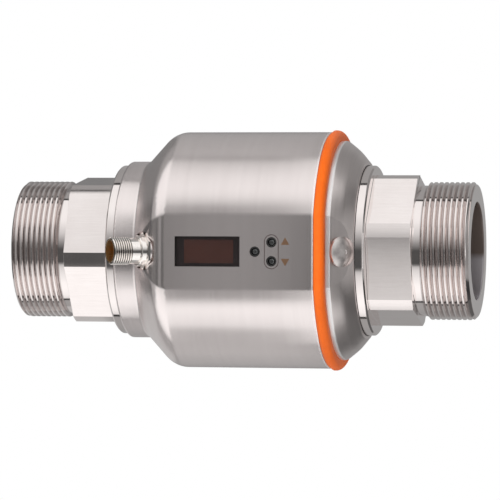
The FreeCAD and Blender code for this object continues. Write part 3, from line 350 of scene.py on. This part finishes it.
def nickelPlate(look):
    # plated brass: painted shade in the thread roots, golden in the mouth
    finish = Finish("nickelPlate", Metallic=1.0)
    x, y, z = finish.axes()
    turn = math.radians(connectorLook["turn"])
    axisX, axisY = math.cos(turn), math.sin(turn)
    acrossX = x - connectorLook["seat"][0] * mm
    acrossY = y - connectorLook["seat"][1] * mm
    along = acrossX * axisX + acrossY * axisY
    offX = acrossX - along * axisX
    offY = acrossY - along * axisY
    radius = finish.node("ShaderNodeMath", {"operation": "SQRT"}, {0: offX * offX + offY * offY + z * z})
    inBore = radius < look["bore"] * mm
    onThread = (along > look["threadFrom"] * mm) * (1 - inBore)
    # painted shade: near-black colour in the thread roots, as if in shadow
    rootShade = finish.span(radius, 1, 0, *(place * mm for place in look["root"])) * onThread
    grain = finish.noise(look["grain"])
    colour = finish.blend(finish.span(grain, 0, 1, *toneSpan), look["dark"], look["light"])
    colour = finish.blend(rootShade, colour, look["rootShadeTone"])
    colour = finish.blend(inBore, colour, look["boreTone"])
    rough = finish.span(grain, *look["rough"], *noiseSpan) + inBore * look["boreRough"]
    return finish.set(Base_Color=colour, Roughness=rough)


def plainMetal(name, light, dark, rough, scale=900, bump=0.06, depth=0.01):
    finish = Finish(name, Metallic=1.0)
    grain = finish.noise(scale, 4)
    colour = finish.blend(finish.span(grain, 0, 1, *toneSpan), dark, light)
    return finish.set(Base_Color=colour, Roughness=finish.span(grain, *rough, *noiseSpan),
                      Normal=finish.bump(grain, bump, depth * mm))


def moulded(name, light, dark, rough, scale=700, bump=0.25, depth=0.02, gloss=0.5, patch=12, mix=0.5):
    # rubber and plastic: a fine moulded grain over wider patches
    finish = Finish(name, Specular_IOR_Level=gloss)
    grain = finish.noise(scale, 5)
    cloud = finish.noise(scale / patch)
    tone = finish.span(grain * mix + cloud * (1 - mix), 0, 1, *toneSpan)
    return finish.set(Base_Color=finish.blend(tone, dark, light),
                      Roughness=finish.span(grain, *rough, *noiseSpan),
                      Normal=finish.bump(grain, bump, depth * mm))


displayLook = {"middle": -8.75, "area": (21.3, 9.9), "border": (0.052, 0.036, 0.037),
               "red": (0.21, 0.07, 0.045), "dots": (0.29, 0.10, 0.07), "pitch": 0.62, "cloud": 140,
               "dotShare": 0.5, "cloudShare": 0.4, "rough": (0.35, 0.5)}


def displayFace(look):
    # black border round a red-brown field with faint dots
    finish = Finish("displayFace")
    axes = finish.axes()
    x, z = axes[0], axes[2]
    halfX, halfZ = [size / 2 * mm for size in look["area"]]
    inside = (abs(x - look["middle"] * mm) < halfX) * (abs(z) < halfZ)
    turns = math.tau / (look["pitch"] * mm)
    waves = [finish.node("ShaderNodeMath", {"operation": "SINE"}, {0: axis * turns}) for axis in (x, z)]
    dots = finish.span(waves[0] * waves[1], 0, 1)
    cloud = finish.noise(look["cloud"])
    field = finish.blend(dots * look["dotShare"] + cloud * look["cloudShare"], look["red"], look["dots"])
    return finish.set(Base_Color=finish.blend(inside, look["border"], field),
                      Roughness=finish.span(cloud, *look["rough"]))


paneLook = {"tone": (0.012, 0.009, 0.009, 1), "bend": 1.49, "haze": 60, "rough": (0.05, 0.12),
            "cover": (0.36, 0.44)}


def smokedPane(look):
    finish = Finish("smokedPane", Base_Color=look["tone"], IOR=look["bend"])
    haze = finish.noise(look["haze"])
    return finish.set(Roughness=finish.span(haze, *look["rough"]), Alpha=finish.span(haze, *look["cover"]))


satin = brushedSteel("satinSteel", satinLook)
coverSteel = brushedSteel("coverSteel", coverLook)
turned = turnedSteel(turnedLook)
orange = moulded("orangeRubber", (0.80, 0.140, 0.008), (0.72, 0.115, 0.006), (0.42, 0.55),
                 scale=900, depth=0.015, gloss=0.22)
blackRubber = moulded("blackRubber", (0.016, 0.015, 0.015), (0.008, 0.008, 0.008), (0.35, 0.5))
keyMetal = plainMetal("keyMetal", (0.20, 0.205, 0.205), (0.15, 0.155, 0.155), (0.2, 0.3))
nickel = nickelPlate(nickelLook)
plugSteel = plainMetal("plugSteel", (0.80, 0.75, 0.73), (0.70, 0.65, 0.63), (0.34, 0.42))
gold = plainMetal("goldPlate", (0.95, 0.72, 0.34), (0.85, 0.60, 0.25), (0.15, 0.25))
tubeLiner = moulded("tubeLiner", (0.80, 0.79, 0.75), (0.72, 0.71, 0.67), (0.35, 0.45))
softIron = plainMetal("softIron", (0.36, 0.35, 0.34), (0.28, 0.27, 0.26), (0.4, 0.55))
copper = plainMetal("copperWinding", (0.85, 0.45, 0.26), (0.70, 0.33, 0.17), (0.25, 0.4), scale=3000)
blackPlastic = moulded("blackPlastic", (0.03, 0.03, 0.032), (0.02, 0.02, 0.022), (0.4, 0.5))
boardGreen = moulded("boardLacquer", (0.03, 0.16, 0.06), (0.02, 0.11, 0.04), (0.3, 0.4), scale=400)
insertPlastic = moulded("insertPlastic", (0.85, 0.46, 0.15), (0.72, 0.37, 0.11), (0.35, 0.45))
flatLead = moulded("flatLead", (0.55, 0.56, 0.58), (0.46, 0.47, 0.49), (0.4, 0.5))
printBrown = moulded("printBrown", (0.115, 0.060, 0.030), (0.09, 0.047, 0.023), (0.5, 0.6))
lineBrown = moulded("lineBrown", (0.055, 0.038, 0.036), (0.04, 0.028, 0.027), (0.5, 0.6))
display = displayFace(displayLook)
pane = smokedPane(paneLook)
print("finishes ready")


# Housing, end cover and the orange seal between them

shellLook = {"rim": 34.85, "sealEdge": 36.0, "reach": 1.6}
shells = {
    # the rim of the housing reaches a little over the seal
    "housing": {"finish": satin, "slot": "brushed_steel", "angle": 32,
                "reaches": lambda x: x > shellLook["rim"] * mm},
    "end_cover": {"finish": coverSteel, "slot": "brushed_steel", "angle": 9, "reaches": None},
    "cover_seal": {"finish": orange, "slot": "orange_rubber", "angle": 32,
                   "reaches": lambda x: x < shellLook["sealEdge"] * mm},
}

for node, look in shells.items():
    obj = mergedCopy(node + "Shell", node)
    if look["reaches"]:
        selectVerts(obj, lambda co: look["reaches"](co.x))
        bpy.ops.transform.translate(value=(shellLook["reach"] * mm, 0, 0))
        endEdit()
    smooth(obj, look["angle"])
    fit(obj, look["finish"], look["slot"], "meter", node)
print("housing, cover and seal dressed")


# Threads: one pitch of the profile, screwed along X

pipeThread = {"major": 29.7, "minor": 28.29, "pitch": 2.309, "rootNose": 0.12, "crestNose": 0.15,
              "crestFlat": 0.26, "flank": 27.5, "from": 78.6, "to": 101.0, "lead": 2.03, "steps": 120,
              "clear": 45.0, "back": 38.0}
plugThread = {"major": 5.91, "minor": 5.33, "pitch": 1.0, "rootNose": 0.06, "crestNose": 0.1,
              "crestFlat": 0.05, "flank": 30.0, "from": 7.35, "to": 17.0, "lead": 2.43, "steps": 63,
              "clear": 12.0, "back": -9.0}


def threadProfile(spec):
    # half a pitch from root to crest, then mirrored: round root, straight flank, flat crest, round corners
    lean = 90 - spec["flank"]
    root = arc((0, spec["minor"] + spec["rootNose"]), spec["rootNose"], -90, lean - 90, count=3)
    corner = (spec["pitch"] / 2 - spec["crestFlat"], spec["major"] - spec["crestNose"])
    crest = arc(corner, spec["crestNose"], 90 + lean, 90, count=10)
    rise = root + crest
    fall = [(spec["pitch"] - x, radius) for x, radius in reversed(rise)]
    return rise + fall


def threadedBlank(name, spec):
    # a screw-cut bar that widens to a plain drum behind the thread
    start = spec["from"] - spec["lead"] * spec["pitch"]
    turns = math.ceil((spec["to"] - start) / spec["pitch"]) + 1
    points = [((start + x) * mm, 0, radius * mm) for x, radius in threadProfile(spec)]
    bar = vertexLine(name, points)
    applyModifier(bar, "SCREW", axis="X", angle=math.tau, screw_offset=spec["pitch"] * mm, iterations=turns,
                  steps=spec["steps"], render_steps=spec["steps"], use_merge_vertices=True,
                  merge_threshold=touching / 2)
    startEdit(bar)
    bpy.ops.mesh.remove_doubles(threshold=touching / 2)
    for place, outside in ((spec["from"], -1), (spec["to"], 1)):
        bpy.ops.mesh.select_all(action="SELECT")
        bpy.ops.mesh.bisect(plane_co=(place * mm, 0, 0), plane_no=(outside, 0, 0), clear_outer=True,
                            threshold=touching / 20)
    endEdit()
    selectVerts(bar, lambda co: abs(co.x - spec["from"] * mm) < touching)
    bpy.ops.mesh.select_mode(type="EDGE")
    widen = spec["clear"] / spec["major"]
    length = (spec["back"] - spec["from"]) * mm
    bpy.ops.mesh.extrude_region_move(TRANSFORM_OT_translate={"value": (0, 0, 0)})
    bpy.ops.transform.resize(value=(1, widen, widen), center_override=(0, 0, 0))
    bpy.ops.mesh.extrude_region_move(TRANSFORM_OT_translate={"value": (length, 0, 0)})
    bpy.ops.mesh.edge_face_add()
    endEdit()
    selectVerts(bar, lambda co: abs(co.x - spec["to"] * mm) < touching)
    bpy.ops.mesh.select_mode(type="EDGE")
    bpy.ops.mesh.edge_face_add()
    bpy.ops.mesh.select_all(action="SELECT")
    bpy.ops.mesh.normals_make_consistent(inside=False)
    endEdit()
    return bar


def cutThread(piece, blank, holeSides=12):
    # the cut leaves slivers and small holes at the thread's ends, which are closed
    applyModifier(piece, "BOOLEAN", operation="INTERSECT", object=blank, solver="EXACT")
    bpy.data.objects.remove(blank)
    startEdit(piece)
    bpy.ops.mesh.remove_doubles(threshold=touching)
    bpy.ops.mesh.dissolve_degenerate(threshold=touching / 2)
    bpy.ops.mesh.fill_holes(sides=holeSides)
    endEdit()


adapterLook = {"edge": 0.22, "edgeAngle": 40, "segments": 2, "smooth": 22}

for node, turn in (("inlet_adapter", 180), ("outlet_adapter", 0)):
    adapter = mergedCopy(node + "Threaded", node)
    applyModifier(adapter, "BEVEL", width=adapterLook["edge"] * mm, segments=adapterLook["segments"],
                  limit_method="ANGLE", angle_limit=math.radians(adapterLook["edgeAngle"]))
    blank = threadedBlank("pipeThreadBlank", pipeThread)
    settle(blank, turn=(0, 0, turn))
    cutThread(adapter, blank)
    smooth(adapter, adapterLook["smooth"])
    fit(adapter, turned, "turned_steel", "meter", node)
print("adapters threaded")


# Painted shade in the seams where the ring flanges meet the housing and the cover: a thin black ring stands
# in for the shade in each gap

jointLook = {"from": 52.25, "to": 52.6, "inner": 36.0, "outer": 37.05, "steps": 120}

joints = []
for side in (-1, 1):
    start, end = side * jointLook["from"], side * jointLook["to"]
    lip = [(start, jointLook["inner"]), (start, jointLook["outer"]), (end, jointLook["outer"]),
           (end, jointLook["inner"]), (start, jointLook["inner"])]
    joints.append(turnedPiece("jointShadeRing", lip, jointLook["steps"]))
joints = joinPieces("jointShadeRings", joints)
# painted shade: black rubber colour for the shadow in the gap
fit(joints, blackRubber, "black_rubber", "meter")
print("joint lines laid")


# Round connector on the shoulder: its seat stands above with its plating, which follows it

shell = mergedCopy("connectorShellThreaded", "connector_shell")
blank = threadedBlank("plugThreadBlank", plugThread)
settle(blank, [c * mm for c in connectorLook["seat"]], (0, 0, connectorLook["turn"]))
cutThread(shell, blank)
smooth(shell, connectorLook["smooth"])
fit(shell, nickel, "connector_metal", "meter", "connector_shell")
print("connector threaded")


# Closing plug: a low dome with a small dimple

plugLook = {"seat": (47.81, -42.38, 0), "turn": -31, "edge": 6.4, "skirt": 0.02, "rise": 0.1, "lean": 40,
            "ease": 2, "under": -0.6, "stem": 4.4, "stemFoot": 2.4, "stemTop": 2.5, "dimple": 0.9,
            "dimpleDeep": 0.3, "dimpleFoot": 0.6, "dimpleMiddle": 0.1, "steps": 72, "smooth": 40}

foot = plugLook["skirt"] - plugLook["stem"]
edge = plugLook["skirt"] + plugLook["rise"]
dome = [(foot, 0.0), (foot, plugLook["stemFoot"]), (plugLook["under"], plugLook["stemTop"]),
        (plugLook["under"], plugLook["edge"]), (edge, plugLook["edge"])]
ball = plugLook["edge"] / math.sin(math.radians(plugLook["lean"]))
centre = edge - ball * math.cos(math.radians(plugLook["lean"]))
rim = math.degrees(math.asin(plugLook["dimple"] / ball))
dome += arc((centre, 0), ball, plugLook["lean"] - plugLook["ease"], rim, count=12)
top = dome[-1][0]
dome += [(top - plugLook["dimpleDeep"], plugLook["dimple"] * plugLook["dimpleFoot"]),
         (top - plugLook["dimpleMiddle"], 0.0)]
plug = turnedPiece("coverPlugDome", dome, plugLook["steps"])
settle(plug, [c * mm for c in plugLook["seat"]], (0, 0, plugLook["turn"]))
smooth(plug, plugLook["smooth"])
fit(plug, plugSteel, "turned_steel", "meter", "cover_plug")
print("plug turned")


# Keys: domed pins in rounded rubber rings

keyLook = {"panel": -48.8, "pin": 1.45, "back": -2.95, "flange": 2.4, "flangeSpan": (-2.8, -2.2),
           "domeFrom": -0.95, "domeRise": 0.6, "domeTurns": (12, 24, 36, 48, 60, 72, 82), "tip": -0.345,
           "steps": 40, "smooth": 35}
ringLook = {"inner": 1.5, "outer": 2.15, "back": -2.0, "round": -0.3, "steps": 48, "smooth": 40}
keyPlaces = {"set_button": (11.85, 0.0), "up_button": (19.0, 4.0), "down_button": (19.0, -4.0)}


def keyOutline(look):
    # a pin with a flange at the back and a domed tip
    low, high = look["flangeSpan"]
    turns = [math.radians(angle) for angle in look["domeTurns"]]
    outline = [(look["back"], 0.0), (look["back"], look["pin"]), (low, look["pin"]), (low, look["flange"]),
               (high, look["flange"]), (high, look["pin"]), (look["domeFrom"], look["pin"])]
    outline += [(look["domeFrom"] + look["domeRise"] * math.sin(t), look["pin"] * math.cos(t)) for t in turns]
    return outline + [(look["tip"], 0.0)]


def ringOutline(look):
    # a sleeve with a round lip in front
    middle = (look["inner"] + look["outer"]) / 2
    half = (look["outer"] - look["inner"]) / 2
    back = [(look["back"], look["outer"]), (look["back"], look["inner"])]
    return back[1:] + arc((look["round"], middle), half, 270, 450, count=10) + back


rings = []
for node, (x, z) in keyPlaces.items():
    place = (x * mm, keyLook["panel"] * mm, z * mm)
    key = turnedPiece(node + "Domed", keyOutline(keyLook), keyLook["steps"])
    settle(key, place, (0, 0, -90))
    smooth(key, keyLook["smooth"])
    fit(key, keyMetal, "key_metal", node + "_body", node)
    ring = turnedPiece("keyRing", ringOutline(ringLook), ringLook["steps"])
    settle(ring, place, (0, 0, -90))
    smooth(ring, ringLook["smooth"])
    rings.append(ring)
rings = joinPieces("keyRings", rings)
fit(rings, blackRubber, "black_rubber", "meter", "button_seals")
print("keys ready")


# Printed marks on the panel: a line round the two keys and two triangles

markLook = {"spread": 4.2, "round": 3.15, "roundSides": 64, "line": 0.34, "proud": 0.03, "arrowX": 24.9,
            "arrow": 2.1}
printPlane = keyLook["panel"] - markLook["proud"]
keyX, keyZ = keyPlaces["up_button"]


def raisePrint(obj):
    # a flat print gets a little thickness and stands on the panel
    startEdit(obj)
    bpy.ops.mesh.extrude_region_move(TRANSFORM_OT_translate={"value": (0, 0, -2 * markLook["proud"] * mm)})
    bpy.ops.mesh.select_all(action="SELECT")
    bpy.ops.mesh.normals_make_consistent(inside=False)
    endEdit()


clearSelection()
bpy.ops.mesh.primitive_circle_add(vertices=markLook["roundSides"], radius=markLook["round"] * mm,
                                  fill_type="NGON")
keyLine = bpy.context.object
keyLine.name = "keyLine"
for side in (1, -1):
    selectVerts(keyLine, lambda co: co.y * side > -touching)
    bpy.ops.transform.translate(value=(0, side * markLook["spread"] * mm, 0))
    endEdit()
startEdit(keyLine)
bpy.ops.mesh.select_mode(type="FACE")
bpy.ops.mesh.select_all(action="SELECT")
bpy.ops.mesh.inset(thickness=markLook["line"] * mm)
bpy.ops.mesh.delete(type="FACE")
endEdit()
raisePrint(keyLine)
settle(keyLine, (keyX * mm, printPlane * mm, 0), (90, 0, 0))
fit(keyLine, lineBrown, "black_rubber", "meter")

arrows = []
for side, turn in ((1, 0), (-1, 180)):
    clearSelection()
    bpy.ops.mesh.primitive_circle_add(vertices=3, radius=markLook["arrow"] * mm, fill_type="NGON")
    arrow = bpy.context.object
    raisePrint(arrow)
    settle(arrow, (markLook["arrowX"] * mm, printPlane * mm, side * keyZ * mm), (90, turn, 0))
    arrows.append(arrow)
arrows = joinPieces("keyArrows", arrows)
fit(arrows, printBrown, "black_rubber", "meter")
print("marks printed")


# Finishes of the CAD nodes that are kept as they are

kept = {
    "black_rubber": blackRubber, "liner_plastic": tubeLiner, "soft_iron": softIron, "copper_winding": copper,
    "black_plastic": blackPlastic, "board": boardGreen, "window_glass": pane, "display_face": display,
    "key_metal": keyMetal, "connector_metal": nickel, "gold": gold, "insert_plastic": insertPlastic,
    "flat_lead": flatLead, "turned_steel": turned, "brushed_steel": satin, "orange_rubber": orange,
}
for obj in nodes.values():
    slotName = obj.data.materials[0].name
    obj.data.materials.clear()
    obj.data.materials.append(kept[slotName])
print("inner pieces finished")


# Studio: light tent with soft bands, floor, lamps, white surround and camera

tentLook = {
    "radius": 0.3, "left": -1.5, "right": 0.375, "margin": 0.002, "sides": 128,
    # light by the angle at which the metal throws it: 0 in front, 90 above, -90 below
    "fittings": [(-180, 0.36), (-140, 0.34), (-120, 0.38), (-104, 0.38), (-103, 0.03), (-100, 0.03),
                 (-99, 0.85), (-90, 1.05), (-75, 1.15), (-62, 1.12), (-50, 1.0), (-42, 0.90), (-36, 0.82),
                 (-32, 0.74), (-28, 0.60), (-25, 0.24), (-22, 0.085), (-8, 0.09), (1, 0.085), (5, 0.16),
                 (14, 0.34), (22, 0.54), (30, 0.72), (42, 0.88), (52, 1.0), (62, 1.03), (99, 0.98),
                 (100, 0.03), (103, 0.03), (104, 0.36), (140, 0.34), (180, 0.36)],
    "body": [(-180, 0.20), (-147, 0.43), (-130, 0.48), (-118, 0.54), (-82, 0.47), (-80, 0.90), (-74, 0.92),
             (-66, 0.98), (-60, 1.10), (-54, 1.06), (-51, 0.88), (-48, 0.30), (-40, 0.28), (-20, 0.32),
             (22, 0.31), (30, 0.30), (38, 0.30), (44, 0.42), (50, 0.78), (56, 0.94), (62, 0.96), (68, 0.93),
             (76, 0.88), (83, 0.79), (91, 0.68), (98, 0.58), (99, 0.30), (103, 0.30), (105, 0.50),
             (120, 0.46), (150, 0.40), (180, 0.20)],
    "fittingsRadius": 0.03, "bodyRadius": 0.0513, "bodySpan": (-0.107, -0.012),
    # grey cards: span along the pipe, span of the angle, light
    "cards": [(-0.26, -0.168, -23, 14, 0.34), (-1.5, -0.39, -25, 15, 0.17),
              (-1.5, -0.5, 15, 100, 0.42), (-1.5, -0.5, -100, -25, 0.42), (-0.107, -0.093, -36, 38, 0.05),
              (-0.6, -0.13, 120, 180, 0.22), (-0.6, -0.13, -180, -120, 0.54),
              (-1.5, -0.6, 120, 180, 0.10), (-1.5, -0.6, -180, -120, 0.10),
              (0.12, 0.375, 105, 150, 0.26), (0.12, 0.375, -150, -105, 0.12)],
    # light on the two ends from the foot to the top
    "leftEnd": [(0.0, 0.42), (0.28, 0.40), (0.36, 0.08), (0.62, 0.05), (0.72, 0.14), (1.0, 0.22)],
    "rightEnd": [(0.0, 0.10), (0.16, 0.04), (0.24, 0.06), (0.27, 0.32), (0.32, 0.38), (0.38, 0.30),
                 (0.5, 0.26), (0.62, 0.30), (0.68, 0.40), (0.73, 0.36), (0.77, 0.16), (0.85, 0.09),
                 (0.92, 0.15), (1.0, 0.20)],
    # two upright strips of light: one on the right end, one at an angle to the right of the front
    "sliver": {"from": -0.097, "to": -0.073, "height": 0.09, "light": 1.6},
    "strip": {"from": 24, "to": 33, "level": 40, "light": 1.15},
}


def tentStops(part):
    # the round metal stands off the middle, so its rays meet the tent a little nearer the front
    offset = tentLook[part + "Radius"] / tentLook["radius"]
    stops = []
    for angle, glow in tentLook[part]:
        met = angle - math.degrees(math.asin(offset * math.sin(math.radians(angle / 2))))
        stops.append(((met + 180) / 360, glow))
    return stops


def tentLight():
    finish = Finish("tentLight")
    x, y, z = finish.axes(finish.node("ShaderNodeNewGeometry", output="Position"))
    turn = finish.node("ShaderNodeMath", {"operation": "ARCTAN2"}, {0: z, 1: 0 - y})
    side = finish.node("ShaderNodeMath", {"operation": "ARCTAN2"}, {0: x, 1: 0 - y})
    around = finish.span(turn, 0, 1, -math.pi, math.pi)
    bands = [finish.node("ShaderNodeValToRGB", {"stops": tentStops(part)}, {0: around})
             for part in ("fittings", "body")]
    light = finish.blend(x.within(*tentLook["bodySpan"]), *bands)
    for low, high, under, over, glow in tentLook["cards"]:
        onCard = x.within(low, high) * turn.within(math.radians(under), math.radians(over))
        light = finish.blend(onCard, light, (glow,) * 3)
    rise = finish.span(z, 0, 1, -tentLook["radius"], tentLook["radius"])
    ends = [finish.node("ShaderNodeValToRGB", {"stops": tentLook[part]}, {0: rise})
            for part in ("leftEnd", "rightEnd")]
    atRight = x > tentLook["right"] - tentLook["margin"]
    atEnd = atRight + (x < tentLook["left"] + tentLook["margin"])
    light = finish.blend(atEnd, light, finish.blend(x > 0, *ends))
    sliver = tentLook["sliver"]
    onSliver = atRight * y.within(sliver["from"], sliver["to"]) * (abs(z) < sliver["height"])
    light = finish.blend(onSliver, light, (sliver["light"],) * 3)
    strip = tentLook["strip"]
    level = math.radians(strip["level"])
    inStrip = side.within(math.radians(strip["from"]), math.radians(strip["to"])) * turn.within(-level, level)
    light = finish.blend(inStrip, light, (strip["light"],) * 3)
    return finish.surface(finish.node("ShaderNodeEmission", sockets={"Color": light, "Strength": 1.0}))


clearSelection()
tentLength = tentLook["right"] - tentLook["left"]
bpy.ops.mesh.primitive_cylinder_add(vertices=tentLook["sides"], radius=tentLook["radius"], depth=tentLength)
tent = bpy.context.object
tent.name = "lightTent"
settle(tent, ((tentLook["left"] + tentLook["right"]) / 2, 0, 0), (0, 90, 0))
tent.data.materials.append(tentLight())
tent.visible_camera = False
tent.visible_diffuse = False
tent.visible_shadow = False

floorLook = {"height": -0.16, "size": 8.0, "pale": (0.92, 0.92, 0.92), "shade": 0.99, "grain": 6,
             "rough": 0.9, "near": 0.2, "far": 0.5}


def paleFloor(look):
    # a pale floor that fades into the white surround
    finish = Finish("paleFloor", Roughness=look["rough"])
    x, y = finish.axes(finish.node("ShaderNodeNewGeometry", output="Position"))[:2]
    reach = finish.node("ShaderNodeMath", {"operation": "SQRT"}, {0: x * x + y * y})
    shade = tuple(look["shade"] * c for c in look["pale"])
    finish.set(Base_Color=finish.blend(finish.noise(look["grain"]), shade, look["pale"]))
    plain = Wire(finish, finish.shader.outputs[0])
    white = finish.node("ShaderNodeEmission", sockets={"Color": (1, 1, 1, 1), "Strength": 1.0})
    fade = finish.span(reach, 0, 1, look["near"], look["far"])
    seen = finish.node("ShaderNodeLightPath", output="Is Camera Ray")
    return finish.surface(finish.node("ShaderNodeMixShader", sockets={0: fade * seen, 1: plain, 2: white}))


clearSelection()
bpy.ops.mesh.primitive_grid_add(x_subdivisions=8, y_subdivisions=8, size=floorLook["size"])
floor = bpy.context.object
floor.name = "paleFloor"
settle(floor, (0, 0, floorLook["height"]))
floor.data.materials.append(paleFloor(floorLook))
floor.visible_glossy = False

lampLook = {
    "keyLamp": {"place": (-0.25, -0.85, 0.75), "size": 0.9, "power": 11.0},
    "lowLamp": {"place": (0.1, -0.75, -0.12), "size": 0.5, "power": 3.0},
    "backLamp": {"place": (0.2, 0.85, 0.6), "size": 0.9, "power": 7.0},
}
for name, look in lampLook.items():
    bpy.ops.object.light_add(type="AREA", location=look["place"])
    lamp = bpy.context.object
    lamp.name = name
    lamp.data.energy = look["power"]
    lamp.data.size = look["size"]
    lamp.rotation_euler = (-Vector(look["place"])).to_track_quat("-Z", "Y").to_euler()
    lamp.visible_glossy = False
    lamp.visible_camera = False

surroundLook = {"light": 0.35, "seen": 1.0}  # on the part, and as the camera, metal and glass see it

world = bpy.data.worlds.new("whiteSurround")
bpy.context.scene.world = world
world.use_nodes = True
tree = world.node_tree
plain = tree.nodes["Background"]
white = tree.nodes.new("ShaderNodeBackground")
for background, strength in ((plain, surroundLook["light"]), (white, surroundLook["seen"])):
    background.inputs["Color"].default_value = (1, 1, 1, 1)
    background.inputs["Strength"].default_value = strength
paths = tree.nodes.new("ShaderNodeLightPath")
anyRay = paths.outputs["Is Camera Ray"]
for ray in ("Is Glossy Ray", "Is Transmission Ray"):
    either = tree.nodes.new("ShaderNodeMath")
    either.operation = "MAXIMUM"
    tree.links.new(anyRay, either.inputs[0])
    tree.links.new(paths.outputs[ray], either.inputs[1])
    anyRay = either.outputs[0]
mixWorld = tree.nodes.new("ShaderNodeMixShader")
tree.links.new(anyRay, mixWorld.inputs[0])
tree.links.new(plain.outputs[0], mixWorld.inputs[1])
tree.links.new(white.outputs[0], mixWorld.inputs[2])
tree.links.new(mixWorld.outputs[0], tree.nodes["World Output"].inputs["Surface"])

cameraLook = {"place": (0.3142, -1.5583, 0.0225), "lens": 262.6, "sensor": 36, "roll": 0.13}
cameraData = bpy.data.cameras.new("photoCamera")
cameraData.lens = cameraLook["lens"]
cameraData.sensor_width = cameraLook["sensor"]
camera = bpy.data.objects.new("photoCamera", cameraData)
bpy.context.scene.collection.objects.link(camera)
camera.location = cameraLook["place"]
camera.rotation_mode = "QUATERNION"
aim = (-Vector(cameraLook["place"])).to_track_quat("-Z", "Y")
camera.rotation_quaternion = aim @ Quaternion((0, 0, 1), math.radians(cameraLook["roll"]))
bpy.context.scene.camera = camera
bpy.context.scene.view_settings.view_transform = "Standard"
print("studio set")

clearSelection()
